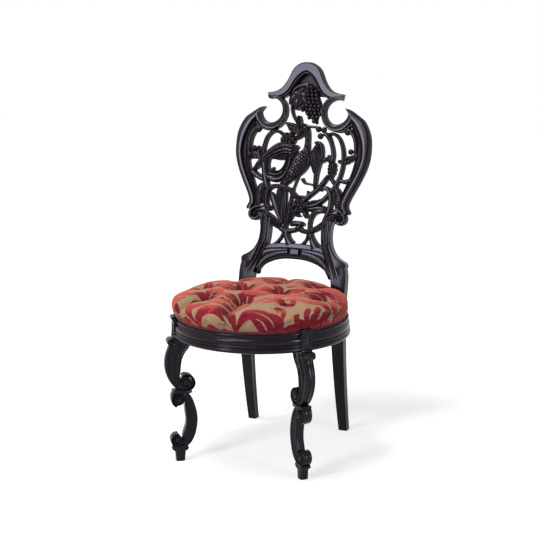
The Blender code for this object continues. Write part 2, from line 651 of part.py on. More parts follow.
def build_rear_legs(parts, cutters, wood):
    """Two rear legs, each one piece with its stile, mortised for the lower rail."""
    for side, label in SIDES:
        leg = link_mesh(f"rear_leg_{label}", loft(rear_leg_rings(side), f"rear_leg_{label}"), parts, wood)
        chamfer_edges(leg, EDGE_CHAMFER)
        box = lower_tenon_box(side, CLEARANCE)
        mortise = block(*box, f"stile_mortise_{label}")
        boolean(leg, as_cutter(link_mesh(mortise.name, mortise, cutters, None, BOARD)), "DIFFERENCE")
        hole = dowel_mesh((side * STILE_DOWEL, STILE_JOINT), (0.0, 1.0), CLEARANCE, f"stile_hole_{label}")
        boolean(leg, as_cutter(link_mesh(hole.name, hole, cutters, None, BOARD)), "DIFFERENCE")


def stile_edge_at(up):
    """Inner edge of the stile at a height on the back drawing."""
    heights = [row[0] for row in STILE_EDGES]
    return float(np.interp(up, heights, [row[1] for row in STILE_EDGES]))


def lower_tenon_box(side, grow):
    """Corners of the lower rail's tenon inside a stile."""
    level = (LOWER_TENON - BACK_DRAWN_DATUM) * BACK_UNIT
    edge = stile_edge_at(LOWER_TENON) * BACK_UNIT
    ends = sorted((side * (edge - TENON_ROOT), side * (edge + LOWER_TENON_LENGTH + grow)))
    half = 0.5 * TENON_THICKNESS + grow
    rise = 0.5 * LOWER_TENON_HEIGHT + grow
    return ((ends[0], -half, level - rise), (ends[1], half, level + rise))


def dowel_mesh(joint, direction, grow, name):
    """A dowel across a joint of the back, in line with the board."""
    across, up = joint
    centre = Vector((across * BACK_UNIT, 0.0, (up - BACK_DRAWN_DATUM) * BACK_UNIT))
    reach = Vector((direction[0], 0.0, direction[1])) * (0.5 * DOWEL_LENGTH + grow)
    return rod(centre - reach, centre + reach, DOWEL_RADIUS + grow, DOWEL_SIDES, name)


def build_lower_rail(parts, cutters, wood):
    """Arched rail between the stiles, with a square tablet and a tenon at each end."""
    half = list(smooth_run(LOWER_RAIL_TOP, BACK_OUTLINE_STEP))
    half.extend(Vector((stile_edge_at(up) - CLEARANCE / BACK_UNIT, up)) for up in LOWER_RAIL_CHEEK)
    half.extend(smooth_run(LOWER_RAIL_UNDER, BACK_OUTLINE_STEP))
    left = [Vector((-across, up)) for across, up in reversed(half[1:-1])]
    mesh = flat_board(on_board(half + left), LOWER_RAIL_THICKNESS, "lower_back_rail")
    rail = link_mesh("lower_back_rail", mesh, parts, wood, BOARD)
    across, up, wide, tall = TABLET
    level = (up - BACK_DRAWN_DATUM) * BACK_UNIT
    face = -0.5 * LOWER_RAIL_THICKNESS
    tablet = block(((across - wide) * BACK_UNIT, face - TABLET_PROUD, level - tall * BACK_UNIT),
                   ((across + wide) * BACK_UNIT, face + TABLET_ROOT, level + tall * BACK_UNIT), "tablet")
    boolean(rail, as_cutter(link_mesh("tablet", tablet, cutters, None, BOARD)), "UNION")
    for side, label in SIDES:
        tenon = block(*lower_tenon_box(side, 0.0), f"lower_tenon_{label}")
        boolean(rail, as_cutter(link_mesh(tenon.name, tenon, cutters, None, BOARD)), "UNION")


def notch_arc(start, end):
    """Points of the round notch beside the crest between two angles in degrees."""
    count = max(2, round(abs(math.radians(end - start)) * NOTCH_RADIUS / BACK_OUTLINE_STEP))
    angles = [math.radians(start + (end - start) * index / count) for index in range(count + 1)]
    return [Vector((NOTCH_CENTRE[0] + NOTCH_RADIUS * math.cos(angle),
                    NOTCH_CENTRE[1] + NOTCH_RADIUS * math.sin(angle))) for angle in angles]


def crest_outline():
    """Outline of the crest rail with its ears, its two hooked arms and its pointed arch."""
    half = smooth_run(CREST_OUTER, BACK_OUTLINE_STEP) + smooth_run(EAR_UNDERSIDE, BACK_OUTLINE_STEP)[1:-1]
    half += notch_arc(*NOTCH_CREST_ARC)
    half.append(Vector((CREST_JOINT, NOTCH_CENTRE[1] - NOTCH_RADIUS)))
    half += smooth_run(CREST_LOWER, BACK_OUTLINE_STEP) + smooth_run(CREST_ARCH, BACK_OUTLINE_STEP)[1:]
    left = [Vector((-across, up)) for across, up in reversed(half[1:-1])]
    return half + left


def hoop_outline(side):
    """Outline of a hoop from its joint with the crest round to its lower volute."""
    joint = CREST_JOINT + CLEARANCE / BACK_UNIT
    run = [Vector((joint, NOTCH_CENTRE[1] - NOTCH_RADIUS))]
    run += notch_arc(*NOTCH_HOOP_ARC) + [Vector(SPIKE_TIP)]
    run += smooth_run(HOOP_OUTER, BACK_OUTLINE_STEP)[1:] + smooth_run(HOOP_VOLUTE, BACK_OUTLINE_STEP)[1:]
    run += smooth_run(HOOP_INNER, BACK_OUTLINE_STEP)[:-1] + [Vector((joint, HOOP_INNER[-1][1]))]
    return [Vector((side * across, up)) for across, up in run]


def crest_panel(grow):
    """Thin panel that closes the back of the pointed arch, let into the crest all round."""
    arch = [point for point in smooth_run(CREST_ARCH, BACK_OUTLINE_STEP) if point.y > PANEL_FOOT]
    half = [Vector((point.x + PANEL_LET_IN, point.y + PANEL_LET_IN)) for point in arch]
    half.insert(0, Vector((half[0].x, PANEL_FOOT - grow / BACK_UNIT)))
    left = [Vector((-point.x, point.y)) for point in reversed(half[:-1])]
    panel = flat_board(on_board(half + left), CREST_PANEL_THICKNESS + 2 * grow, "crest_panel")
    back = 0.5 * (BACK_THICKNESS - CREST_PANEL_THICKNESS) - EDGE_CHAMFER - CLEARANCE
    panel.transform(Matrix.Translation((0.0, back, 0.0)))
    return panel


def build_crest(parts, cutters, wood):
    """Crest rail with a thin panel behind the carving of its arch."""
    crest = link_mesh("crest_rail", flat_board(on_board(crest_outline()), BACK_THICKNESS, "crest_rail"),
                      parts, wood, BOARD)
    chamfer_edges(crest, EDGE_CHAMFER)
    panel = crest_panel(0.0)
    boolean(crest, as_cutter(link_mesh("crest_panel", panel, cutters, None, BOARD)), "UNION")
    for side, label in SIDES:
        hole = dowel_mesh((side * CREST_JOINT, CREST_DOWEL), (1.0, 0.0), CLEARANCE, f"crest_hole_{label}")
        boolean(crest, as_cutter(link_mesh(hole.name, hole, cutters, None, BOARD)), "DIFFERENCE")


def build_hoops(parts, cutters, wood):
    """Two side hoops of the back with their scroll eyes and dowel holes."""
    front = -0.5 * BACK_THICKNESS
    for side, label in SIDES:
        mesh = flat_board(on_board(hoop_outline(side)), BACK_THICKNESS, f"back_hoop_{label}")
        hoop = link_mesh(f"back_hoop_{label}", mesh, parts, wood, BOARD)
        chamfer_edges(hoop, EDGE_CHAMFER)
        for number, (across, up, radius) in enumerate(HOOP_EYES):
            eye = board_rod(side * across, up, (front - EYE_PROUD, EYE_ROOT * BACK_THICKNESS), radius,
                            f"hoop_eye_{label}_{number}")
            boolean(hoop, as_cutter(link_mesh(eye.name, eye, cutters, None, BOARD)), "UNION")
        joints = ((side * CREST_JOINT, CREST_DOWEL, (1.0, 0.0)),
                  (side * STILE_DOWEL, STILE_JOINT, (0.0, 1.0)))
        for number, (across, up, direction) in enumerate(joints):
            hole = dowel_mesh((across, up), direction, CLEARANCE, f"hoop_hole_{label}_{number}")
            boolean(hoop, as_cutter(link_mesh(hole.name, hole, cutters, None, BOARD)), "DIFFERENCE")


def build_dowels(parts, wood):
    """Dowels that join the hoops to the crest and to the stiles."""
    for side, label in SIDES:
        joints = {"crest": ((side * CREST_JOINT, CREST_DOWEL), (1.0, 0.0)),
                  "stile": ((side * STILE_DOWEL, STILE_JOINT), (0.0, 1.0))}
        for place, (joint, direction) in joints.items():
            mesh = dowel_mesh(joint, direction, 0.0, f"{place}_dowel_{label}")
            link_mesh(f"{place}_dowel_{label}", mesh, parts, wood, BOARD)


def carved_form(points, depth, lift, name):
    """A stem, leaf or limb: a tapered tube along a curve in the board, flattened in depth."""
    run = smooth_run(points, CARVING_STEP)
    data = bpy.data.curves.new(name, "CURVE")
    data.dimensions = "3D"
    data.twist_mode = "Z_UP"
    data.bevel_depth = BACK_UNIT
    data.bevel_resolution = 1
    data.use_fill_caps = True
    spline = data.splines.new("POLY")
    spline.points.add(len(run) - 1)
    for point, (across, up, radius) in zip(spline.points, run):
        point.co = (across * BACK_UNIT, (up - BACK_DRAWN_DATUM) * BACK_UNIT, 0.0, 1.0)
        point.radius = max(radius, CARVING_LEAST)
    mesh = curve_mesh(data, name)
    squeeze = Matrix.Diagonal((1.0, 1.0, depth, 1.0))
    stand = Matrix.Rotation(math.pi / 2, 4, "X")
    mesh.transform(Matrix.Translation((0.0, lift * BACK_UNIT, 0.0)) @ stand @ squeeze)
    return mesh


def carved_ball(across, up, radius, lift, name):
    """A berry, grape or flower heart on the board."""
    bm = bmesh.new()
    centre = Matrix.Translation((across * BACK_UNIT, lift * BACK_UNIT, (up - BACK_DRAWN_DATUM) * BACK_UNIT))
    turn = Matrix.Rotation(math.pi / 2 + BALL_TIP, 4, "X") @ Matrix.Rotation(BALL_TURN + across, 4, "Z")
    bmesh.ops.create_uvsphere(bm, u_segments=BALL_SIDES, v_segments=BALL_RINGS, radius=radius * BACK_UNIT,
                              matrix=centre @ turn)
    return mesh_from(bm, name)


def splat_forms():
    """Every stem, leaf, limb, flower and fruit that is carved in the splat."""
    forms = []
    for order, (half, points) in enumerate(STEMS):
        lift = STEM_WEAVE * math.sin(STEM_WEAVE_TURN * order)
        forms.append(carved_form([(x, v, half) for x, v in points], CARVING_DEPTH, lift, "stem"))
    for order, (depth, lift, points) in enumerate(BIRD + LEAVES):
        lift += FORM_WEAVE * math.cos(STEM_WEAVE_TURN * order)
        forms.append(carved_form(points, depth, lift, "form"))
    for across, up, radius in BERRIES:
        forms.append(carved_ball(across, up, radius, BERRY_LIFT, "berry"))
    for across, up, radius in FLOWERS:
        forms.append(carved_ball(across, up, HEART_SIZE * radius, HEART_LIFT, "heart"))
        for index in range(PETALS):
            angle = 2 * math.pi * index / PETALS + PETAL_TURN
            forms.append(carved_ball(across + PETAL_REACH * radius * math.cos(angle),
                                     up + PETAL_REACH * radius * math.sin(angle), PETAL_SIZE * radius,
                                     PETAL_LIFT, "petal"))
    for row, (up, centre, count) in enumerate(GRAPE_ROWS):
        for index in range(count):
            across = centre + (index - 0.5 * (count - 1)) * GRAPE_PITCH
            front = GRAPE_FRONT if 0 < index < count - 1 else 0.0
            lift = GRAPE_LIFT - front + GRAPE_STAGGER * (row % 2)
            forms.append(carved_ball(across, up, GRAPE_RADIUS, lift, "grape"))
    across, up, radius = GRAPE_BOSS
    depths = (GRAPE_LIFT * BACK_UNIT, GRAPE_BOSS_ROOT * BACK_THICKNESS)
    forms.append(board_rod(across, up, depths, radius, "boss"))
    return forms


def window_outline():
    """Outline of the opening in the back that the splat fills."""
    half = list(smooth_run(LOWER_RAIL_TOP, BACK_OUTLINE_STEP))
    half += [Vector((stile_edge_at(up), up)) for up in WINDOW_CHEEK]
    half += smooth_run(HOOP_INNER, BACK_OUTLINE_STEP)[:-1] + smooth_run(CREST_LOWER, BACK_OUTLINE_STEP)
    half += smooth_run(CREST_ARCH, BACK_OUTLINE_STEP)[1:]
    left = [Vector((-across, up)) for across, up in reversed(half[1:-1])]
    return half + left


def build_splat(parts, wood):
    """Openwork splat: a bird among scrolls, leaves, flowers and grapes, trimmed to its opening."""
    group = new_collection("splat_forms")
    items = [link_mesh(f"splat_form_{index}", mesh, group) for index, mesh in enumerate(splat_forms())]
    first = items[0]
    group.objects.unlink(first)
    bpy.context.scene.collection.objects.link(first)
    join = first.modifiers.new("Join", "BOOLEAN")
    join.operation = "UNION"
    join.operand_type = "COLLECTION"
    join.collection = group
    join.solver = "EXACT"
    thin = first.modifiers.new("Thin", "DECIMATE")
    thin.ratio = CARVING_KEEP
    window = flat_board(on_board(window_outline()), BACK_THICKNESS - 2 * EDGE_CHAMFER, "splat_window",
                        offset=-CLEARANCE)
    frame = link_mesh("splat_window", window, bpy.context.scene.collection)
    boolean(first, frame, "INTERSECT")
    behind = link_mesh("splat_panel_cut", crest_panel(CLEARANCE), bpy.context.scene.collection)
    boolean(first, behind, "DIFFERENCE")
    mesh = evaluated_mesh(first, "pierced_splat", weld=0.0)
    for item in (*items, frame, behind):
        bpy.data.objects.remove(item, do_unlink=True)
    bpy.data.collections.remove(group)
    mesh.shade_smooth()
    mesh.set_sharp_from_angle(angle=math.radians(CARVING_CORNER))
    mesh.materials.clear()
    link_mesh("pierced_splat", mesh, parts, wood, BOARD)


def tuft_places():
    """Tufts of the seat in rows of three, four and three, in diamonds about its centre."""
    places = []
    for row, count in ((-1, 3), (0, 4), (1, 3)):
        for index in range(count):
            places.append(((index - 0.5 * (count - 1)) * TUFT_PITCH, row * TUFT_ROW))
    return places


def pleat_lines():
    """Pleats between neighbouring tufts and from the outer tufts to the edge of the seat."""
    places = [Vector(place) for place in tuft_places()]
    reach = PLEAT_REACH * math.hypot(0.5 * TUFT_PITCH, TUFT_ROW)
    lines = []
    for index, start in enumerate(places):
        lines.extend((start, end) for end in places[index + 1:]
                     if (end - start).length < reach and abs(end.y - start.y) > 0.5 * TUFT_ROW)
        if start.length > TUFT_PITCH:
            lines.append((start, start.normalized() * COVER_RADIUS))
    return lines


def tuft_drop(x, y):
    """How far the tufts and their pleats draw the cover down at a place."""
    drop = np.zeros_like(x)
    for across, along in tuft_places():
        drop += TUFT_DEPTH * np.exp(-((x - across) ** 2 + (y - along) ** 2) / (2 * TUFT_SPREAD ** 2))
    for start, end in pleat_lines():
        run = end - start
        share = np.clip(((x - start.x) * run.x + (y - start.y) * run.y) / run.length_squared, 0.0, 1.0)
        away = np.hypot(x - start.x - share * run.x, y - start.y - share * run.y)
        drop = np.maximum(drop, PLEAT_DEPTH * np.exp(-(away / PLEAT_SPREAD) ** 2))
    return drop


def cushion_rings(inset):
    """Rings of the crowned, tufted seat: a superellipse crown over sides that draw in to the rail.

    The inset moves the surface inwards, for the lining side of the cover and for the stuffing.
    """
    foot = RAIL_TOP + CLEARANCE
    bulge = foot + COVER_BULGE_HEIGHT
    rise = RAIL_TOP + CUSHION_HEIGHT - bulge - inset
    widest = COVER_RADIUS - inset
    narrowest = COVER_FOOT_RADIUS - inset
    angles = np.arange(COVER_SIDES) * 2 * math.pi / COVER_SIDES
    rings = []
    for index in range(1, COVER_CROWN_RINGS + 1):
        share = index / COVER_CROWN_RINGS
        radius = widest * math.sin(0.5 * math.pi * share) ** CROWN_FLATNESS
        height = bulge + rise * max(0.0, math.cos(0.5 * math.pi * share)) ** CROWN_SHOULDER
        x = radius * np.cos(angles)
        y = radius * np.sin(angles)
        fade = min(1.0, max(0.0, (height - bulge) / (CROWN_FADE * rise)))
        rings.append(np.stack([x, y, height - fade * tuft_drop(x, y)], axis=1))
    tuck = foot + 2 * WELT_RADIUS + 2 * CLEARANCE
    for index in range(1, COVER_SIDE_RINGS + 1):
        share = index / COVER_SIDE_RINGS
        radius = widest - (widest - narrowest) * (share * share * (3 - 2 * share))
        rings.append(np.stack([radius * np.cos(angles), radius * np.sin(angles),
                               np.full_like(angles, bulge - (bulge - tuck) * share)], axis=1))
    rings.append(np.stack([narrowest * np.cos(angles), narrowest * np.sin(angles),
                           np.full_like(angles, foot)], axis=1))
    crown = Vector((0.0, 0.0, float(bulge + rise - tuft_drop(np.zeros(1), np.zeros(1))[0])))
    return crown, rings


def skin_rings(bm, crown, rings):
    """Skin a crown point and its rings, and return the verts of the last ring."""
    top = bm.verts.new(crown)
    loops = [[bm.verts.new(point) for point in ring] for ring in rings]
    count = len(loops[0])
    for index in range(count):
        bm.faces.new((top, loops[0][index], loops[0][(index + 1) % count]))
    for inner, outer in zip(loops, loops[1:]):
        for index in range(count):
            after = (index + 1) % count
            bm.faces.new((inner[index], outer[index], outer[after], inner[after]))
    return loops[-1]


def build_cover(parts, fabric):
    """Tufted cover: an open-bottomed shell over the stuffing."""
    bm = bmesh.new()
    outer = skin_rings(bm, *cushion_rings(0.0))
    inner = skin_rings(bm, *cushion_rings(COVER_THICKNESS))
    for index in range(COVER_SIDES):
        after = (index + 1) % COVER_SIDES
        bm.faces.new((outer[index], inner[index], inner[after], outer[after]))
    return link_mesh("seat_cover", mesh_from(bm, "seat_cover", SOFT_CORNER), parts, fabric, SEAT_AXIS)


def hessian_height(radius):
    """Top of the hessian at a distance from the seat's axis: a dome inside the rail."""
    share = min(1.0, radius / RAIL_INNER)
    return RAIL_TOP + CLEARANCE + HESSIAN_THICKNESS + HESSIAN_CROWN * (1.0 - share * share)


def dome_rings(radii, offset):
    """Rings that follow the hessian's dome at an offset above it."""
    angles = np.arange(COVER_SIDES) * 2 * math.pi / COVER_SIDES
    return [np.stack([radius * np.cos(angles), radius * np.sin(angles),
                      np.full_like(angles, hessian_height(radius) + offset)], axis=1) for radius in radii]


def build_stuffing(parts, fibre):
    """Stuffing that fills the cover down to the hessian."""
    bm = bmesh.new()
    crown, rings = cushion_rings(COVER_THICKNESS + CLEARANCE)
    lift = CLEARANCE + HESSIAN_THICKNESS + CLEARANCE
    rings[-1][:, 2] = RAIL_TOP + lift
    outer = skin_rings(bm, crown, rings)
    radii = (*DOME_RADII, RAIL_INNER)
    floor = skin_rings(bm, (0.0, 0.0, hessian_height(0.0) + CLEARANCE), dome_rings(radii, CLEARANCE))
    for index in range(COVER_SIDES):
        after = (index + 1) % COVER_SIDES
        bm.faces.new((outer[index], floor[index], floor[after], outer[after]))
    link_mesh("stuffing", mesh_from(bm, "stuffing", SOFT_CORNER), parts, fibre, SEAT_AXIS)


def build_hessian(parts, cloth):
    """Hessian over the springs, tacked to the top of the rail."""
    edge = COVER_FOOT_RADIUS - COVER_THICKNESS - 2 * CLEARANCE
    radii = (*DOME_RADII, RAIL_INNER, edge)
    bm = bmesh.new()
    top = skin_rings(bm, (0.0, 0.0, hessian_height(0.0)), dome_rings(radii, 0.0))
    under = skin_rings(bm, (0.0, 0.0, hessian_height(0.0) - HESSIAN_THICKNESS),
                       dome_rings(radii, -HESSIAN_THICKNESS))
    for index in range(COVER_SIDES):
        after = (index + 1) % COVER_SIDES
        bm.faces.new((top[index], under[index], under[after], top[after]))
    link_mesh("hessian", mesh_from(bm, "hessian", SOFT_CORNER), parts, cloth, SEAT_AXIS)


def build_buttons(parts, cover, fabric):
    """Covered buttons, each seated in its tuft on the cover."""
    bm = bmesh.new()
    bm.from_mesh(cover.data)
    tree = BVHTree.FromBMesh(bm)
    bm.free()
    turns = [2 * math.pi * index / BUTTON_SIDES for index in range(BUTTON_SIDES)]
    down = Vector((0.0, 0.0, -1.0))
    for number, (x, y) in enumerate(tuft_places(), start=1):
        seats = [tree.ray_cast(Vector((x, y, BUTTON_PROBE_HEIGHT)), down)[0].z]
        for share in BUTTON_PROBES:
            for turn in turns:
                start = Vector((x + share * BUTTON_RADIUS * math.cos(turn),
                                y + share * BUTTON_RADIUS * math.sin(turn), BUTTON_PROBE_HEIGHT))
                seats.append(tree.ray_cast(start, down)[0].z)
        seat = max(seats) + CLEARANCE
        rings = [[(x + share * BUTTON_RADIUS * math.cos(turn), y + share * BUTTON_RADIUS * math.sin(turn),
                   seat + rise * BUTTON_HEIGHT) for turn in turns] for share, rise in BUTTON_SECTION]
        mesh = loft(rings, f"tuft_button_{number}")
        link_mesh(mesh.name, mesh, parts, fabric, SEAT_AXIS)


def build_welt(parts, fabric):
    """Piped welt that covers the edge of the cover on the rail."""
    centre = COVER_FOOT_RADIUS + CLEARANCE + WELT_RADIUS
    height = RAIL_TOP + CLEARANCE + WELT_RADIUS
    turns = [2 * math.pi * (index + 0.5) / WELT_SIDES for index in range(WELT_SIDES)]
    section = [(centre + WELT_RADIUS * math.cos(turn), height + WELT_RADIUS * math.sin(turn))
               for turn in turns]
    bm = bmesh.new()
    loops = []
    for step in range(COVER_SIDES):
        angle = 2 * math.pi * step / COVER_SIDES
        loops.append([bm.verts.new((radius * math.cos(angle), radius * math.sin(angle), level))
                      for radius, level in section])
    for step, ring in enumerate(loops):
        following = loops[(step + 1) % COVER_SIDES]
        for index in range(WELT_SIDES):
            after = (index + 1) % WELT_SIDES
            bm.faces.new((ring[index], following[index], following[after], ring[after]))
    link_mesh("seat_welt", mesh_from(bm, "seat_welt", SOFT_CORNER), parts, fabric, SEAT_AXIS)


def webbing_level():
    """Middle height of the interlaced webbing in the rail's rebate."""
    return RAIL_BOTTOM + REBATE_DEPTH - CLEARANCE - 0.5 * WEBBING_THICKNESS - WEBBING_WEAVE


def build_webbing(parts, cloth):
    """Three webs each way, woven over and under, with their ends in the rail's rebate."""
    reach = RAIL_INNER + REBATE_WIDTH - WEBBING_END_GAP
    half = 0.5 * WEBBING_WIDTH + CLEARANCE
    for along, label in ((0, "cross"), (1, "long")):
        for place in (-1, 0, 1):
            offset = place * WEBBING_PITCH
            end = math.sqrt(reach ** 2 - (abs(offset) + 0.5 * WEBBING_WIDTH) ** 2)
            columns = [(-end, 1)]
            for crossing in (-1, 0, 1):
                over = 1 if (crossing + place + along) % 2 == 0 else -1
                columns.append((crossing * WEBBING_PITCH - half, over))
                columns.append((crossing * WEBBING_PITCH + half, over))
            columns.append((end, 1))
            last = len(columns) - 1
            bm = bmesh.new()
            bmesh.ops.create_grid(bm, x_segments=last, y_segments=1, size=0.5)
            for vertex in bm.verts:
                run, over = columns[round((vertex.co.x + 0.5) * last)]
                side = offset + vertex.co.y * WEBBING_WIDTH
                level = webbing_level() + WEBBING_WEAVE * over
                vertex.co = (run, side, level) if along == 0 else (side, run, level)
            name = f"webbing_{label}_{place + 2}"
            item = link_mesh(name, mesh_from(bm, name), parts, cloth, SEAT_AXIS)
            shell = item.modifiers.new("Thickness", "SOLIDIFY")
            shell.thickness = WEBBING_THICKNESS
            shell.offset = 0.0


def build_springs(parts, steel):
    """Waisted coil springs between the webbing and the hessian."""
    foot = webbing_level() + WEBBING_WEAVE + 0.5 * WEBBING_THICKNESS + CLEARANCE + SPRING_WIRE
    count = SPRING_TURNS * SPRING_POINTS_PER_TURN
    for number in range(SPRING_COUNT):
        angle = 2 * math.pi * number / (SPRING_COUNT - 1) + math.pi / 4
        circle = 0.0 if number == SPRING_COUNT - 1 else SPRING_CIRCLE
        x = circle * math.cos(angle)
        y = circle * math.sin(angle)
        outer = hessian_height(circle + SPRING_END_RADIUS)
        top = outer - HESSIAN_THICKNESS - CLEARANCE - SPRING_WIRE
        data = bpy.data.curves.new(f"seat_spring_{number + 1}", "CURVE")
        data.dimensions = "3D"
        data.bevel_depth = SPRING_WIRE
        data.bevel_resolution = 1
        data.use_fill_caps = True
        spline = data.splines.new("POLY")
        spline.points.add(count)
        places = []
        for index in range(count + 1):
            share = index / count
            turn = angle + 2 * math.pi * SPRING_TURNS * share
            radius = SPRING_WAIST_RADIUS + (SPRING_END_RADIUS - SPRING_WAIST_RADIUS) * (2 * share - 1) ** 2
            places.append(Vector((x + radius * math.cos(turn), y + radius * math.sin(turn),
                                  foot + (top - foot) * share)))
        for point, place in zip(spline.points, places):
            point.co = (*place, 1.0)
        gap = min((a - b).length for i, a in enumerate(places)
                  for b in places[i + SPRING_POINTS_PER_TURN // 2:]) - 2 * SPRING_WIRE
        print(f"seat_spring_{number + 1}: least gap between turns {gap / MM:.2f} mm")
        mesh = curve_mesh(data, f"seat_spring_{number + 1}")
        mesh.shade_smooth()
        link_mesh(mesh.name, mesh, parts, steel, SEAT_AXIS)


def build_dust_cover(parts, cloth):
    """Dust cover in the rail's rebate, notched round the front leg posts."""
    radius = inside_facets(RAIL_INNER + REBATE_WIDTH)
    low = RAIL_BOTTOM + CLEARANCE
    mesh = rod((0.0, 0.0, low), (0.0, 0.0, low + DUST_COVER_THICKNESS), radius, COVER_SIDES, "dust_cover")
    cover = link_mesh("dust_cover", mesh, parts, cloth, SEAT_AXIS)
    for label in ("left", "right"):
        boolean(cover, bpy.data.objects[f"post_cut_{label}"], "DIFFERENCE")


def build_corner_blocks(parts, wood):
    """Glue blocks inside the ring, behind the leg posts and the stiles."""
    outer = inside_facets(RAIL_INNER)
    low = RAIL_BOTTOM + REBATE_DEPTH + CLEARANCE
    high = RAIL_TOP - BLOCK_TOP_DROP
    section = [(outer - BLOCK_DEPTH, low), (outer, low), (outer, high), (outer - BLOCK_DEPTH, high)]
    corner = rear_stile_corner()
    angles = {"front_right": -LEG_ANGLE, "front_left": math.pi + LEG_ANGLE, "rear_right": corner,
              "rear_left": math.pi - corner}
    for label, angle in angles.items():
        name = f"corner_block_{label}"
        mesh = ring_segment(section, angle - BLOCK_HALF_ANGLE, 2 * BLOCK_HALF_ANGLE, BLOCK_STEPS, name)
        link_mesh(name, mesh, parts, wood, SEAT_AXIS)


def main():
    """Build the chair from its frame to its upholstery."""
    clear_scene()
    parts = new_collection("slipper_chair")
    cutters = new_collection("cutters")
    ebonised = new_material("ebonised_wood", (0.030, 0.022, 0.024), 0.35)
    beech = new_material("beech", (0.52, 0.36, 0.22), 0.6)
    damask = new_material("damask", (0.46, 0.06, 0.055), 0.8)
    welt = new_material("welt_cloth", (0.17, 0.012, 0.035), 0.75)
    canvas = new_material("canvas", (0.42, 0.31, 0.19), 0.9)
    fibre = new_material("horsehair", (0.10, 0.075, 0.055), 0.95)
    steel = new_material("spring_steel", (0.42, 0.40, 0.38), 0.4, 0.9)
    black_cloth = new_material("black_cloth", (0.015, 0.015, 0.016), 0.9)
    build_seat_rails(parts, cutters, ebonised)
    build_front_legs(parts, cutters, ebonised)
    build_rear_legs(parts, cutters, ebonised)
    build_lower_rail(parts, cutters, ebonised)
    build_crest(parts, cutters, ebonised)
    build_hoops(parts, cutters, ebonised)
    build_dowels(parts, beech)
    build_splat(parts, ebonised)
    build_corner_blocks(parts, beech)
    build_webbing(parts, canvas)
    build_springs(parts, steel)
    build_hessian(parts, canvas)
    build_stuffing(parts, fibre)
    cover = build_cover(parts, damask)
    build_buttons(parts, cover, damask)
    build_welt(parts, welt)
    build_dust_cover(parts, black_cloth)


main()
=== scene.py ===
"""Looks of the carved slipper chair: the ebonised frame, its pierced back and the tufted damask seat.

Every shape is a numpy surface: a section carried along a pair of edge lines, a profile turned about
an axis, or a height field on a grid. Drawings are in millimetres and are set into the chair's frame
in metres at the end.
"""
import json
import logging
import math
from dataclasses import dataclass, replace
from enum import Enum
from functools import partial
from typing import Callable, Protocol, Sequence

import bpy
import numpy as np
from mathutils import Matrix, Vector
from numpy.typing import NDArray

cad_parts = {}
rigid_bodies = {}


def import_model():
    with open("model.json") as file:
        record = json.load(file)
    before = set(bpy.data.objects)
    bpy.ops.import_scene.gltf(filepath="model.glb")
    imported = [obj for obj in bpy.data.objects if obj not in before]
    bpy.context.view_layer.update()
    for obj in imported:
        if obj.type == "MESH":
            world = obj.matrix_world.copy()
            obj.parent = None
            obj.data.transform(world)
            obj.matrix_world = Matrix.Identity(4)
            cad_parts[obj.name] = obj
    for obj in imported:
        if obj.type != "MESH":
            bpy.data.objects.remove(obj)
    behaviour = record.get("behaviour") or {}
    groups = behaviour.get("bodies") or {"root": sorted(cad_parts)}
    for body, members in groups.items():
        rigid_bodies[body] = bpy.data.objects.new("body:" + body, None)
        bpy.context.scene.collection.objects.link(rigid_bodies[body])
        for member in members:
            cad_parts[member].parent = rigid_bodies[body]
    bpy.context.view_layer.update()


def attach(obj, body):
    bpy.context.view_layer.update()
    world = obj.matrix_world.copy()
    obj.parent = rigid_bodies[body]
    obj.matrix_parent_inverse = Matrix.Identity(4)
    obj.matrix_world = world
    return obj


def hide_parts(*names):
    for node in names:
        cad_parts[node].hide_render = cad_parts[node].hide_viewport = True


Array = NDArray[np.float64]
Pairs = Sequence[tuple[float, float, float, float]]
Points = Sequence[tuple[float, ...]]
Triple = tuple[float, float, float]
Colour = Triple
Node = bpy.types.Node
Source = tuple[Node, str | int]
MM = 0.001
# In millimetres: the back of the carved board, the breadth from which a facet is held flat and how far
# from its ends, and the half width and back of the usual stem.
BACK_DEPTH = 12.5
BROAD_FACET = 2.4
FACET_HOLD = 0.5
STEM_HALF = 6.0
STEM_BACK = 7.5
LOG = logging.getLogger("slipper_chair")


class Side(Enum):
    """Sides of the chair, as someone who faces it sees them."""

    LEFT = -1
    RIGHT = 1


class Cut(Enum):
    """Ways the carver worked the face of a leaf or feather."""

    PLAIN = "plain"
    VEINED = "veined"
    RIBBED = "ribbed"
    FEATHERED = "feathered"
    SCALED = "scaled"
    HUSK = "husk"


@dataclass
class Surface:
    """Points, faces and polish of one closed shape."""

    points: Array
    quads: NDArray[np.int64]
    tris: NDArray[np.int64]
    polish: Array

    def mapped(self, place: Callable[[Array], Array]) -> "Surface":
        """Set the shape into another frame by a function of its points, faces outward again."""
        return Surface(place(self.points), self.quads, self.tris, self.polish).outward()

    def volume(self) -> float:
        """Add up the tetrahedra from the middle to each triangle.

        Returns:
            The volume, below 0 where the faces point inwards.
        """
        split = np.concatenate([self.quads[:, [0, 1, 2]], self.quads[:, [0, 2, 3]], self.tris])
        a, b, c = (self.points - self.points.mean(axis=0))[split].transpose(1, 0, 2)
        return float(np.einsum("ij,ij->", a, np.cross(b, c)) / 6.0)

    def outward(self) -> "Surface":
        """Turn the faces over where the volume comes out negative.

        Returns:
            The surface with its faces outward.
        """
        if self.volume() >= 0.0:
            return self
        return Surface(self.points, self.quads[:, ::-1], self.tris[:, ::-1], self.polish)


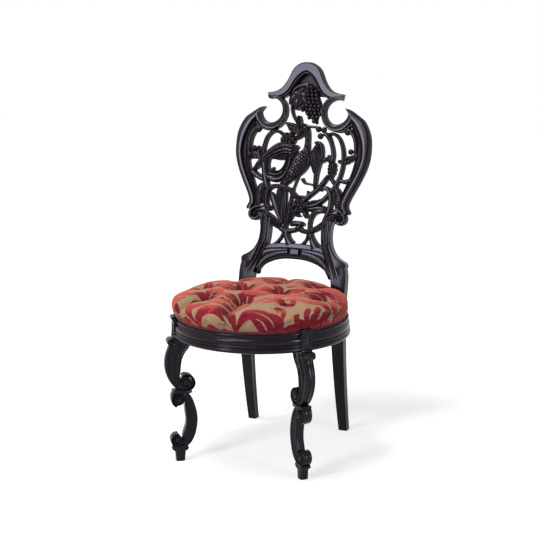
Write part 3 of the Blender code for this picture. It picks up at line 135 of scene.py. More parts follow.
def joined(parts: Sequence[Surface]) -> Surface:
    """Gather shapes that are carved from one piece into one mesh.

    Args:
        parts: the shapes, in one frame.

    Returns:
        One surface that holds them all.
    """
    starts = np.cumsum([0] + [len(part.points) for part in parts[:-1]])
    return Surface(
        np.concatenate([part.points for part in parts]),
        np.concatenate([part.quads + start for part, start in zip(parts, starts)]),
        np.concatenate([part.tris + start for part, start in zip(parts, starts)]),
        np.concatenate([part.polish for part in parts]),
    )


def smooth(points: Points, spans: int = 6) -> Array:
    """Carry a smooth curve through drawn points.

    Each span is the cubic whose end slopes are half the chord between the two neighbours.

    Args:
        points: drawn points, of any number of coordinates.
        spans: samples for each span.

    Returns:
        The sampled curve, its last point included.
    """
    knots = np.asarray(points, dtype=float)
    padded = np.concatenate([2 * knots[:1] - knots[1:2], knots, 2 * knots[-1:] - knots[-2:-1]])
    t = np.linspace(0.0, 1.0, spans, endpoint=False)[None, :, None]
    p0, p1, p2, p3 = (padded[k:len(padded) - 3 + k, None, :] for k in range(4))
    curve = 0.5 * (2 * p1 + (p2 - p0) * t + (2 * p0 - 5 * p1 + 4 * p2 - p3) * t ** 2
                   + (3 * p1 - p0 - 3 * p2 + p3) * t ** 3)
    return np.concatenate([curve.reshape(-1, knots.shape[1]), knots[-1:]])


def skin(grid: Array, polish: Array) -> Surface:
    """Close a grid of rings into a solid shape: rings wrap round, both ends are fanned to a middle point.

    Args:
        grid: rings by points by three coordinates.
        polish: one value for each grid point, 1 where hands and cloths reach; on the wood, low values also
            paint shade through the colour.

    Returns:
        The closed surface.
    """
    rows, cols = grid.shape[:2]
    ring = np.arange(cols)
    after = np.roll(ring, -1)
    start = (np.arange(rows - 1) * cols)[:, None]
    quads = np.stack([start + ring, start + after, start + cols + after, start + cols + ring], axis=-1)
    first, last = rows * cols, rows * cols + 1
    end = (rows - 1) * cols
    tris = np.concatenate([
        np.stack([np.full(cols, first), after, ring], axis=-1),
        np.stack([np.full(cols, last), end + ring, end + after], axis=-1),
    ])
    middles = np.stack([grid[0].mean(axis=0), grid[-1].mean(axis=0)])
    return Surface(
        np.concatenate([grid.reshape(-1, 3), middles]),
        quads.reshape(-1, 4),
        tris,
        np.concatenate([polish.reshape(-1), [polish[0].mean(), polish[-1].mean()]]),
    ).outward()


@dataclass(frozen=True)
class Section:
    """Moulded section of a strip of wood, from its first edge over the face to its second edge and back.

    Each row is (share, offset, depth): the point lies at share of the width plus offset across, in
    millimetres, and at depth towards the viewer, in units of so many millimetres. Offsets shrink where
    the strip is narrower than nominal.
    """

    rows: Points
    nominal: float
    unit: float = 1.0

    def held(self) -> Array:
        """Add a row close to each end of every broad facet, so that the facet is shaded flat.

        Returns:
            The section's rows with those added.
        """
        rows = np.asarray(self.rows, dtype=float)
        step = np.roll(rows, -1, axis=0) - rows
        gap = np.hypot(step[:, 0] * self.nominal + step[:, 1], step[:, 2] * self.unit)[:, None]
        share = np.where(gap > BROAD_FACET, FACET_HOLD / np.maximum(gap, 1e-6), np.nan)
        lines = np.stack([rows, rows + share * step, rows + (1.0 - share) * step], axis=1).reshape(-1, 3)
        return lines[~np.isnan(lines[:, 0])]

    def sweep(self, pairs: Array, depth: Array | float = 1.0) -> Array:
        """Carry the section along two edge lines.

        A point is first edge + (second edge - first edge) / width * (share * width + offset), at
        depth times the local depth factor.

        Args:
            pairs: stations by four values, the two ends of the strip's width at each station.
            depth: factor for the depths, one for all or one for each station.

        Returns:
            A grid of stations by section points by (across, up, depth).
        """
        rows = self.held()
        first, second = pairs[:, :2], pairs[:, 2:]
        width = np.maximum(np.linalg.norm(second - first, axis=1), 1e-3)[:, None]
        fit = np.minimum(1.0, width / self.nominal)
        across = (rows[None, :, 0] * width + rows[None, :, 1] * fit) / width
        flat = first[:, None, :] + (second - first)[:, None, :] * across[..., None]
        factor = np.broadcast_to(np.asarray(depth, dtype=float), (len(pairs),))
        level = rows[None, :, 2] * factor[:, None]
        return np.concatenate([flat, level[..., None]], axis=-1)


def wear_and_shade(grid: Array, reach: float = 7.0) -> Array:
    """Polish that follows the depth: full on the foremost wood, none a few millimetres lower.
    The wood's colour follows it as well, so besides rubbed wear it paints shade into hollows and side walls.

    Args:
        grid: grid whose third coordinate is the depth towards the viewer.
        reach: depth over which the polish fades, in millimetres.

    Returns:
        Values from 0 to 1 for each grid point.
    """
    depth = np.abs(grid[..., 2])
    return np.clip(1.0 - (depth.max() - depth) / reach, 0.0, 1.0)


def strip(pairs: Pairs, section: Section, spans: int = 6) -> Surface:
    """Carve a moulded strip between two edge lines drawn as pairs of points.

    Args:
        pairs: (x, y) of the first edge and (x, y) of the second edge, station by station.
        section: the strip's section.
        spans: samples between two stations.

    Returns:
        The closed strip in drawing coordinates.
    """
    grid = section.sweep(smooth(pairs, spans))
    return skin(grid, wear_and_shade(grid))


def beside(path: Array) -> Array:
    """Unit normals of a drawn path: its run turned a quarter to the left.

    Args:
        path: points whose first two coordinates are the drawing's.

    Returns:
        One normal for each point.
    """
    run = np.gradient(path[:, :2], axis=0)
    normal = np.stack([-run[:, 1], run[:, 0]], axis=-1)
    return normal / np.maximum(np.linalg.norm(normal, axis=1), 1e-6)[:, None]


def ribbon(spine: Points, section: Section, lift: float, spans: int = 7) -> Surface:
    """Carve a stem: the section carried along a spine, its face as high as it is wide, its back flush.

    Args:
        spine: (x, y, half width) along the stem.
        section: section drawn for the stem's usual half width.
        lift: how far its face is set forward.
        spans: samples between two points of the spine.

    Returns:
        The closed stem in drawing coordinates.
    """
    path = smooth(spine, spans)
    reach = beside(path) * path[:, 2:3]
    rise = np.clip(path[:, 2] / STEM_HALF, 0.4, 1.2)
    grid = section.sweep(np.concatenate([path[:, :2] + reach, path[:, :2] - reach], axis=1), rise)
    polish = wear_and_shade(grid, 5.0)
    behind = np.minimum(section.held()[None, :, 2], 0.0) * (BACK_DEPTH / STEM_BACK)
    grid[..., 2] = np.where(behind < 0.0, behind, grid[..., 2] + lift)
    return skin(grid, polish)


def turned(profile: Points, centre: tuple[float, float], count: int = 32) -> Surface:
    """Turn a profile about an axis that points at the viewer.

    A point is (cx + r cos a, cy + r sin a, depth).

    Args:
        profile: (radius, depth) from the middle of the face round to the middle of the back.
        centre: the axis in the drawing.
        count: points round the axis.

    Returns:
        The closed shape in drawing coordinates.
    """
    rows = np.asarray(profile, dtype=float)
    angle = np.linspace(0.0, 2 * math.pi, count, endpoint=False)[None, :]
    radius, depth = rows[:, :1], rows[:, 1:2]
    grid = np.stack([centre[0] + radius * np.cos(angle), centre[1] + radius * np.sin(angle),
                     depth + 0.0 * angle], axis=-1)
    return skin(grid, wear_and_shade(grid))


def ball(centre: Triple, radius: float, flat: float, count: int) -> Surface:
    """Turn a ball, its profile a half circle squashed towards the viewer.

    Args:
        centre: (x, y, depth) of its middle.
        radius: radius in the drawing.
        flat: depth of the ball as a share of the radius.
        count: points round it.

    Returns:
        The closed ball in drawing coordinates.
    """
    tilt = np.linspace(0.06, math.pi - 0.06, count // 2 + 2)
    profile = np.stack([radius * np.sin(tilt), centre[2] + radius * flat * np.cos(tilt)], axis=-1)
    return turned(profile.tolist(), centre[:2], count)


def boss(centre: tuple[float, float], radius: float, half: float, proud: float) -> Surface:
    """Turn the eye of a volute: a domed button inside a quirk and a rounded rim, alike on both faces.

    Args:
        centre: the axis in the drawing.
        radius: radius of the rim.
        half: half thickness of the wood it stands on.
        proud: height of the dome over that face.

    Returns:
        The closed boss in drawing coordinates.
    """
    face = [(0.02, proud), (0.2, proud * 0.94), (0.38, proud * 0.7), (0.5, proud * 0.25), (0.56, -1.6),
            (0.64, -1.8), (0.7, proud * 0.3), (0.8, proud * 0.72), (0.9, proud * 0.5), (0.97, -0.6),
            (1.0, -2.5)]
    front = [(share * radius, half + rise) for share, rise in face]
    return turned(front + [(r, -d) for r, d in reversed(front)], centre)


def soft_step(distance: Array, sharpness: float) -> Array:
    """Rise smoothly from 0 to 1 across distance 0, as 1 / (1 + exp(-sharpness * distance))."""
    return 1.0 / (1.0 + np.exp(-sharpness * distance))


@dataclass(frozen=True)
class Chair:
    """Sizes that every piece shares, in millimetres."""

    seat_centre: float = -57.7
    rail_radius: float = 234.2
    rail_bottom: float = 333.0
    rail_top: float = 381.0
    leg_angle: float = math.radians(38.0)
    rake: float = math.radians(10.64)
    back_inset: float = 24.6
    back_datum: float = 387.7

    @property
    def back_at_rail(self) -> float:
        """Where the middle of the back board crosses the rail's top."""
        half_height = 0.5 * (self.rail_top - self.rail_bottom)
        return self.seat_centre + self.rail_radius - self.back_inset + half_height * math.tan(self.rake)

    def on_back(self, drawn: Array) -> Array:
        """Set (across, up the board, depth to the front) into the chair, in metres.

        Args:
            drawn: points in the board's drawing.

        Returns:
            The placed points.
        """
        across, up, depth = drawn[..., 0], drawn[..., 1] - self.back_datum, drawn[..., 2]
        back = self.back_at_rail - depth * math.cos(self.rake) + up * math.sin(self.rake)
        height = self.rail_top + depth * math.sin(self.rake) + up * math.cos(self.rake)
        return np.stack([across, back, height], axis=-1) * MM

    def on_leg(self, drawn: Array, side: Side) -> Array:
        """Set (distance from the seat's axis, height, depth across the leg) on a front leg's radius.

        Args:
            drawn: points in the leg's drawing.
            side: which leg.

        Returns:
            The placed points, in metres.
        """
        out, height, along = drawn[..., 0], drawn[..., 1], drawn[..., 2]
        x = out * math.cos(self.leg_angle) + along * math.sin(self.leg_angle)
        y = self.seat_centre - out * math.sin(self.leg_angle) + along * math.cos(self.leg_angle)
        return np.stack([side.value * x, y, height], axis=-1) * MM

    def on_seat(self, drawn: Array) -> Array:
        """Set (across, to the back, height) about the seat's axis into the chair, in metres."""
        return (drawn + np.array([0.0, self.seat_centre, 0.0])) * MM


def mirrored(points: Array) -> Array:
    """Swap left and right in a drawing."""
    return points * np.array([-1.0, 1.0, 1.0])


class Nodes:
    """A node tree under construction. A value in it is a pair: a node and one of its outputs."""

    # Sockets of a colour Mix node: its factor, its two colours, and its output.
    FACTOR, FIRST, SECOND, MIXED = 0, 6, 7, 2

    def __init__(self, tree: bpy.types.NodeTree) -> None:
        """Work on the tree of a material or of the world."""
        self.tree = tree

    def add(self, kind: str, **sockets: object) -> Node:
        """Add a node and set its inputs or properties.

        Args:
            kind: the node's type.
            sockets: input values by socket name with underscores for spaces, or node properties.

        Returns:
            The node.
        """
        node = self.tree.nodes.new(kind)
        for key, value in sockets.items():
            socket = node.inputs.get(key.replace("_", " "))
            if socket is not None:
                socket.default_value = value
            else:
                setattr(node, key, value)
        return node

    def link(self, source: Source, target: Node, into: str | int) -> None:
        """Join a value to a node's input."""
        self.tree.links.new(source[0].outputs[source[1]], target.inputs[into])

    def place(self) -> Source:
        """Give the object's own coordinates."""
        return self.add("ShaderNodeTexCoord"), "Object"

    def mark(self, name: str) -> Source:
        """Give the value that a mesh holds for each point under a name."""
        return self.add("ShaderNodeAttribute", attribute_name=name), "Fac"

    def noise(self, scale: Triple, **sockets: object) -> Source:
        """Add a noise texture on the object's coordinates, stretched by scale.

        Args:
            scale: cycles for each metre along each axis.
            sockets: inputs of the noise node.

        Returns:
            Its value.
        """
        mapping = self.add("ShaderNodeMapping", Scale=scale)
        self.link(self.place(), mapping, "Vector")
        texture = self.add("ShaderNodeTexNoise", Scale=1.0, **sockets)
        self.link((mapping, "Vector"), texture, "Vector")
        return texture, "Fac"

    def wave(self, source: Source, **sockets: object) -> Source:
        """Add a wave texture, the threads of a cloth.

        Args:
            source: coordinates that it follows.
            sockets: inputs and properties of the wave node.

        Returns:
            Its value.
        """
        texture = self.add("ShaderNodeTexWave", **sockets)
        self.link(source, texture, "Vector")
        return texture, "Fac"

    def combine(self, operation: str, first: Source, second: Source, **settings: object) -> Source:
        """Add, subtract or multiply two values.

        Args:
            operation: which of these.
            first: the first value.
            second: the second value.
            settings: properties of the node.

        Returns:
            The result.
        """
        node = self.add("ShaderNodeMath", operation=operation, **settings)
        self.link(first, node, 0)
        self.link(second, node, 1)
        return node, "Value"

    def mix(self, factor: Source, first: Source, second: Source | Colour, **settings: object) -> Source:
        """Lay one colour over another.

        Args:
            factor: how much of the second colour shows.
            first: the colour below.
            second: the colour on top, from the tree or plain.
            settings: properties of the node.

        Returns:
            The mixed colour.
        """
        node = self.add("ShaderNodeMix", data_type="RGBA", clamp_factor=True, **settings)
        self.link(factor, node, self.FACTOR)
        self.link(first, node, self.FIRST)
        if isinstance(second[0], Node):
            self.link(second, node, self.SECOND)
        else:
            node.inputs[self.SECOND].default_value = (*second, 1.0)
        return node, self.MIXED

    def ramp(self, source: Source, stops: Sequence[tuple[float, Colour]]) -> Source:
        """Turn a value into a colour by a ramp.

        Args:
            source: the value.
            stops: (position, colour) of each stop.

        Returns:
            The colour.
        """
        node = self.add("ShaderNodeValToRGB")
        elements = node.color_ramp.elements
        while len(elements) < len(stops):
            elements.new(0.5)
        for element, (position, colour) in zip(elements, stops):
            element.position = position
            element.color = (*colour, 1.0)
        self.link(source, node, "Fac")
        return node, "Color"

    def span(self, source: Source, low: float, high: float,
             limits: tuple[float, float] = (0.0, 1.0)) -> Source:
        """Map a value from limits to low and high, clamped.

        Args:
            source: the value.
            low: result at the first limit.
            high: result at the second limit.
            limits: range of the value.

        Returns:
            The result.
        """
        node = self.add("ShaderNodeMapRange", From_Min=limits[0], From_Max=limits[1], To_Min=low, To_Max=high)
        self.link(source, node, "Value")
        return node, "Result"

    def bump(self, source: Source, height: float, strength: float, under: Source | None = None) -> Source:
        """Add relief from a value.

        Args:
            source: the value.
            height: height in metres of the value 1.
            strength: strength of the bump.
            under: another relief that it lies on.

        Returns:
            The normal.
        """
        node = self.add("ShaderNodeBump", Strength=strength, Distance=height)
        self.link(source, node, "Height")
        if under is not None:
            self.link(under, node, "Normal")
        return node, "Normal"

    def shown(self) -> Source:
        """Give 1 to rays from the camera, reflections and clear things, and 0 to rays that bring light.

        Returns:
            The value.
        """
        rays = self.add("ShaderNodeLightPath")
        seen = self.combine("ADD", (rays, "Is Camera Ray"), (rays, "Is Glossy Ray"))
        return self.combine("ADD", seen, (rays, "Is Transmission Ray"), use_clamp=True)


class Shader(Nodes):
    """A procedural material under construction, on a Principled surface."""

    def __init__(self, name: str) -> None:
        """Start an empty material with a Principled surface.

        Args:
            name: the material's name.
        """
        self.material = bpy.data.materials.new(name)
        self.material.use_nodes = True
        super().__init__(self.material.node_tree)
        self.tree.nodes.clear()
        self.surface = self.add("ShaderNodeBsdfPrincipled")
        output = self.add("ShaderNodeOutputMaterial")
        self.link((self.surface, "BSDF"), output, "Surface")

    def set(self, **sockets: object) -> None:
        """Set inputs of the Principled surface, with underscores for spaces.

        Args:
            sockets: for each input a constant, or a value of the tree to link.
        """
        for key, value in sockets.items():
            name = key.replace("_", " ")
            if isinstance(value, tuple) and isinstance(value[0], Node):
                self.link(value, self.surface, name)
            else:
                self.surface.inputs[name].default_value = value


def hung(name: str, data: bpy.types.ID) -> bpy.types.Object:
    """Put a new object into the scene.

    Args:
        name: its name.
        data: its mesh, lamp or camera.

    Returns:
        The object.
    """
    thing = bpy.data.objects.new(name, data)
    bpy.context.scene.collection.objects.link(thing)
    return thing


@dataclass(frozen=True)
class EbonisedWood:
    """Dark stained hardwood under an old wax polish, browner and duller in the hollows, where the darker
    colour is partly painted shade.
    """

    name: str = "ebonised_wood_finish"
    slot: str = "ebonised_wood"
    hollow: Colour = (0.003, 0.0014, 0.0013)
    body: Colour = (0.0055, 0.003, 0.003)
    rubbed: Colour = (0.0095, 0.0066, 0.008)

    def material(self) -> bpy.types.Material:
        """Build the finish: grain along the height, pores as relief, and gloss and colour that follow the
        polish; the colour paints shade where the polish is low.

        Returns:
            The material.
        """
        s = Shader(self.name)
        grain = s.noise((260.0, 260.0, 26.0), Detail=5.0, Roughness=0.6)
        patina = s.noise((22.0, 22.0, 14.0), Detail=3.0)
        pores = s.noise((1500.0, 1500.0, 120.0), Detail=2.0)
        streak = s.ramp(grain, ((0.32, self.hollow), (0.52, self.body), (0.74, self.rubbed)))
        reach = s.combine("MULTIPLY", s.mark("polish"), patina)
        soft = s.bump(patina, 0.0005, 0.1)
        # Base colour: the rubbed tone where polish and patina are high, the grain's darker tones elsewhere;
        # this is rubbed wear on the raised wood and painted shade in the hollows and on the side walls.
        s.set(Base_Color=s.mix(reach, streak, self.rubbed), Roughness=s.span(reach, 0.55, 0.19, (0.0, 0.36)),
              Normal=s.bump(pores, 0.0002, 0.012, soft), Specular_IOR_Level=0.17,
              Specular_Tint=(0.82, 0.78, 1.0, 1.0))
        return s.material


@dataclass(frozen=True)
class Damask:
    """Cut velvet: a crimson pile in scrolling acanthus leaves on a flat tan ground."""

    name: str = "damask_cut_velvet"
    slot: str = "damask"
    ground: Colour = (0.325, 0.205, 0.118)
    ground_dark: Colour = (0.235, 0.142, 0.078)
    pile: Colour = (0.175, 0.006, 0.016)
    pile_dark: Colour = (0.06, 0.0015, 0.008)
    # Colour of the painted sheen on the pile.
    painted_sheen_colour: Colour = (0.74, 0.118, 0.088)
    pit_shade: Colour = (0.12, 0.08, 0.08)
    swelling: float = 0.6
    field_swelling: float = 4.5
    midrib: float = 0.9
    far: float = 40.0
    margin: float = 12.0

    def figure(self, flat: Array) -> Array:
        """Signed distance to the pile's figure: above 0 inside a leaf, below 0 on the ground.

        Each stroke is a row of discs that swell and taper along a curve, and the distance to it is the
        least distance to its centre line less the radius there and a swelling. Veins are strokes of ground
        laid over the leaves. The figure comes again one repeat further up the cloth, with loose leaves in
        the field between.

        Args:
            flat: positions on the flat cloth, in millimetres.

        Returns:
            The distance in millimetres.
        """
        behind = flat - np.array([0.0, FIGURE_REPEAT])
        leaves = np.minimum(self.distance(flat, FIGURE_LEAVES), self.distance(behind, FIGURE_LEAVES))
        loose = self.distance(flat, FIELD_LEAVES) - self.field_swelling
        leaves = np.minimum(leaves - self.swelling, loose)
        veins = np.minimum(self.distance(flat, FIGURE_VEINS), self.distance(behind, FIGURE_VEINS))
        ribs = [[(x, y, self.midrib) for x, y, _ in leaf] for leaf in FIELD_LEAVES]
        return np.minimum(-leaves, np.minimum(veins, self.distance(flat, ribs)))

    def distance(self, flat: Array, strokes: Sequence[Points]) -> Array:
        """Least signed distance from each position to a set of swelling strokes.

        Args:
            flat: positions on the flat cloth.
            strokes: (x, y, radius) along each stroke.

        Returns:
            The distance, below 0 inside a stroke.
        """
        spots = flat.reshape(-1, 2)
        least = np.full(len(spots), self.far)
        for stroke in strokes:
            line = smooth(stroke, 8)
            border = line[:, 2].max() + self.margin
            low = line[:, :2].min(axis=0) - border
            high = line[:, :2].max(axis=0) + border
            near = np.nonzero(np.all((spots > low) & (spots < high), axis=1))[0]
            start, along = line[:-1], np.diff(line, axis=0)
            offset = spots[near][:, None, :] - start[None, :, :2]
            share = np.clip(np.einsum("ijk,jk->ij", offset, along[:, :2])
                            / np.maximum((along[:, :2] ** 2).sum(axis=1), 1e-9), 0.0, 1.0)
            away = np.linalg.norm(offset - share[..., None] * along[None, :, :2], axis=-1)
            least[near] = np.minimum(least[near], (away - start[:, 2] - share * along[:, 2]).min(axis=1))
        return least.reshape(flat.shape[:-1])

    def material(self) -> bpy.types.Material:
        """Build the cloth: ribbed ground, dense pile with a painted sheen that lightens it where it is seen
        along the cloth, and painted shade in the pits.

        Returns:
            The material.
        """
        s = Shader(self.name)
        fuzz = s.noise((900.0, 900.0, 900.0), Detail=2.0)
        brush = s.noise((46.0, 46.0, 46.0), Detail=4.0, Roughness=0.6)
        stroked = s.noise((150.0, 150.0, 150.0), Detail=4.0, Roughness=0.7)
        # How far the cover is drawn down; it paints shade into the pits and takes the painted sheen away
        # there.
        pit = s.mark("pit")
        edge = s.combine("ADD", s.mark("figure"), s.span(fuzz, -0.45, 0.45, (0.3, 0.7)))
        mask = s.span(edge, 0.0, 1.0, (-0.25, 0.25))
        weave = (s.add("ShaderNodeUVMap", uv_map="cloth"), "UV")
        ribs = s.wave(weave, Scale=190.0, Distortion=1.2, Detail=1.0, bands_direction="X")
        cross = s.wave(weave, Scale=250.0, Distortion=0.8, Detail=1.0, bands_direction="Y")
        thread = s.combine("MULTIPLY", ribs, cross)
        ground = s.ramp(thread, ((0.0, self.ground_dark), (0.6, self.ground)))
        pile = s.ramp(brush, ((0.25, self.pile_dark), (0.6, self.pile)))
        # Painted sheen: the pile's colour turns towards the sheen colour where the cloth is seen edge on,
        # less in the pits and patchily by noise.
        facing = (s.add("ShaderNodeLayerWeight", Blend=0.42), "Facing")
        painted_sheen = s.combine("SUBTRACT", s.span(facing, 0.0, 0.9, (0.3, 0.9)), pit)
        patchy_painted_sheen = s.combine("MULTIPLY", painted_sheen, s.span(stroked, 0.45, 1.3, (0.32, 0.68)))
        colour = s.mix(mask, ground, s.mix(patchy_painted_sheen, pile, self.painted_sheen_colour))
        weft = s.bump(thread, 0.0004, 0.5)
        tips = s.bump(fuzz, 0.0008, 0.45, weft)
        # Painted shade: the colour is multiplied towards pit_shade where the cover is drawn down into the
        # pits.
        s.set(Base_Color=s.mix(pit, colour, self.pit_shade, blend_type="MULTIPLY"),
              Roughness=s.span(mask, 0.72, 0.95), Normal=s.bump(mask, 0.0007, 0.8, tips),
              Specular_IOR_Level=0.2, Sheen_Weight=0.15, Sheen_Roughness=0.4,
              Sheen_Tint=(1.0, 0.62, 0.52, 1.0))
        return s.material


@dataclass(frozen=True)
class PipingCloth:
    """Dark crimson cloth drawn round the piping cord, with its slanting weave."""

    name: str = "piping_crimson"
    slot: str = "welt_cloth"
    deep: Colour = (0.062, 0.003, 0.012)
    light: Colour = (0.16, 0.010, 0.030)

    def material(self) -> bpy.types.Material:
        """Build the cloth: fine twill with a soft sheen.

        Returns:
            The material.
        """
        s = Shader(self.name)
        twill = s.noise((1200.0, 1200.0, 700.0), Detail=2.0)
        shade = s.noise((60.0, 60.0, 60.0), Detail=3.0)
        colour = s.ramp(s.combine("MULTIPLY", twill, shade), ((0.12, self.deep), (0.42, self.light)))
        s.set(Base_Color=colour, Normal=s.bump(twill, 0.0005, 0.6), Roughness=0.86, Sheen_Weight=0.25,
              Specular_IOR_Level=0.2)
        return s.material


@dataclass(frozen=True)
class InnerFinish:
    """Two-toned finish of an inner part: a stretched grain, crossed by threads where it is woven."""

    name: str
    slot: str
    dark: Colour
    light: Colour
    grain: Triple
    rough: float
    metal: float = 0.0
    threads: float = 0.0
    relief: float = 0.0003

    def material(self) -> bpy.types.Material:
        """Build the finish: its grain between the two tones, the threads and grain as relief.

        Returns:
            The material.
        """
        s = Shader(self.name)
        grain = s.noise(self.grain, Detail=4.0, Roughness=0.6)
        relief = s.bump(grain, self.relief, 0.5)
        if self.threads > 0.0:
            for direction in "XY":
                thread = s.wave(s.place(), Scale=self.threads, Distortion=0.6, bands_direction=direction)
                relief = s.bump(thread, self.relief, 0.6, relief)
        s.set(Base_Color=s.ramp(grain, ((0.3, self.dark), (0.7, self.light))), Normal=relief,
              Roughness=self.rough, Metallic=self.metal)
        return s.material


BEECH = InnerFinish("beech_planed", "beech", (0.36, 0.22, 0.12), (0.56, 0.39, 0.24),
                    (240.0, 240.0, 24.0), rough=0.6)
JUTE = InnerFinish("jute_woven", "canvas", (0.30, 0.21, 0.12), (0.47, 0.35, 0.22),
                   (320.0, 320.0, 320.0), rough=0.9, threads=90.0)
STEEL = InnerFinish("spring_steel_drawn", "spring_steel", (0.30, 0.28, 0.26), (0.46, 0.44, 0.42),
                    (500.0, 500.0, 60.0), rough=0.38, metal=1.0, relief=0.0001)
CAMBRIC = InnerFinish("cambric_black", "black_cloth", (0.010, 0.010, 0.011), (0.021, 0.021, 0.022),
                      (180.0, 180.0, 180.0), rough=0.85, threads=150.0, relief=0.0004)
FIGURE_REPEAT = 335.0
FIGURE_LEAVES: Sequence[Points] = (
    ((33, -263, 2), (30, -250, 5), (22, -232, 10), (8, -216, 14), (-12, -206, 17), (-35, -200, 20),
     (-55, -203, 19), (-70, -214, 15), (-78, -229, 12), (-82, -245, 9), (-84, -260, 6)),
    ((38, -262, 2.5), (42, -245, 5), (48, -226, 9), (58, -207, 16), (75, -203, 20), (95, -209, 25),
     (115, -219, 29), (132, -232, 28), (142, -248, 22)),
    ((100, -196, 12), (120, -192, 12), (134, -198, 12), (146, -212, 10)),
    ((134, -182, 5), (133, -168, 5.5), (128, -156, 6.5), (120, -149, 8), (112, -151, 8.5), (110, -158, 7),
     (115, -164, 4)),
    ((20, -200, 3), (0, -182, 7), (-20, -170, 9), (-40, -162, 10), (-58, -158, 9), (-72, -158, 5)),
    ((18, -194, 3), (-6, -154, 9), (-26, -136, 11), (-46, -127, 12), (-62, -128, 9), (-76, -132, 4)),
    ((18, -186, 3), (-8, -136, 9), (-22, -112, 11), (-38, -99, 12), (-56, -92, 10), (-72, -93, 4)),
    ((20, -180, 3), (4, -128, 9), (-6, -105, 12), (-14, -88, 12), (-24, -74, 6)),
    ((24, -184, 4), (18, -140, 9), (13, -112, 11), (10, -94, 9), (8, -80, 4)),
    ((27, -196, 2.5), (34, -170, 5), (33, -150, 6), (37, -134, 7), (42, -120, 8), (49, -109, 9),
     (59, -103, 10), (70, -107, 10), (76, -117, 9), (72, -128, 7), (64, -130, 5)),
    ((82, -112, 5), (90, -108, 7), (98, -98, 8), (103, -108, 9), (114, -115, 10), (126, -108, 10),
     (128, -94, 9), (119, -85, 7), (112, -90, 4)),
    ((122, -76, 8), (142, -74, 11), (163, -76, 12), (181, -68, 11), (198, -60, 11), (212, -64, 10),
     (221, -77, 9), (225, -92, 8), (223, -103, 5)),
    ((94, -68, 5), (102, -50, 12), (113, -33, 19), (131, -20, 24), (153, -15, 24), (175, -16, 22),
     (197, -21, 17), (215, -33, 12), (231, -50, 8)),
    ((158, -206, 6), (174, -188, 12), (192, -169, 17), (208, -151, 18), (222, -133, 17), (236, -111, 14),
     (246, -86, 9)),
    ((184, -160, 8), (172, -163, 8), (164, -156, 6.5), (165, -146, 2.5)),
    ((194, -152, 6), (184, -138, 6.5), (179, -124, 7), (178, -114, 6)),
    ((203, -142, 5), (198, -130, 5), (195, -122, 3)),
    ((212, -138, 6), (203, -120, 6.5), (198, -104, 7), (196, -91, 7)),
    ((226, -122, 5), (219, -104, 5), (214, -90, 4.5)),
    ((-96, -128, 3), (-104, -116, 5), (-116, -110, 6.5), (-128, -118, 7), (-133, -133, 6), (-126, -143, 4)),
    ((-66, -176, 4), (-84, -178, 10), (-100, -182, 13), (-112, -188, 12), (-108, -205, 9), (-100, -222, 6),
     (-92, -240, 4)),
    ((-112, -178, 6), (-124, -173, 8), (-134, -176, 7)),
    ((-215, -60, 10), (-208, -95, 14), (-200, -125, 12), (-190, -150, 8)),
    ((-205, -95, 7), (-190, -92, 6), (-176, -88, 4)),
    ((-202, -112, 7), (-182, -113, 6), (-164, -113, 4)),
    ((-196, -130, 6), (-182, -128, 5), (-171, -126, 3.5)),
    ((-178, -140, 4), (-170, -158, 9), (-163, -180, 11), (-158, -200, 9), (-155, -218, 5)),
    ((-150, -212, 5), (-136, -218, 9), (-120, -230, 8), (-108, -242, 5)),
    ((-112, -248, 5), (-95, -254, 6), (-72, -264, 5)),
    ((-60, -267, 5), (-46, -255, 7), (-30, -261, 6), (-18, -268, 4)),
    ((-6, -268, 5), (4, -263, 5)),
    ((-104, -104, 4), (-118, -92, 9), (-134, -82, 10), (-150, -80, 5)),
    ((-106, -104, 4), (-108, -85, 8), (-112, -66, 9), (-112, -50, 4)),
    ((-100, -104, 4), (-92, -85, 8), (-88, -66, 9), (-84, -48, 4)),
    ((-78, -70, 4), (-92, -62, 7), (-108, -52, 6)),
)
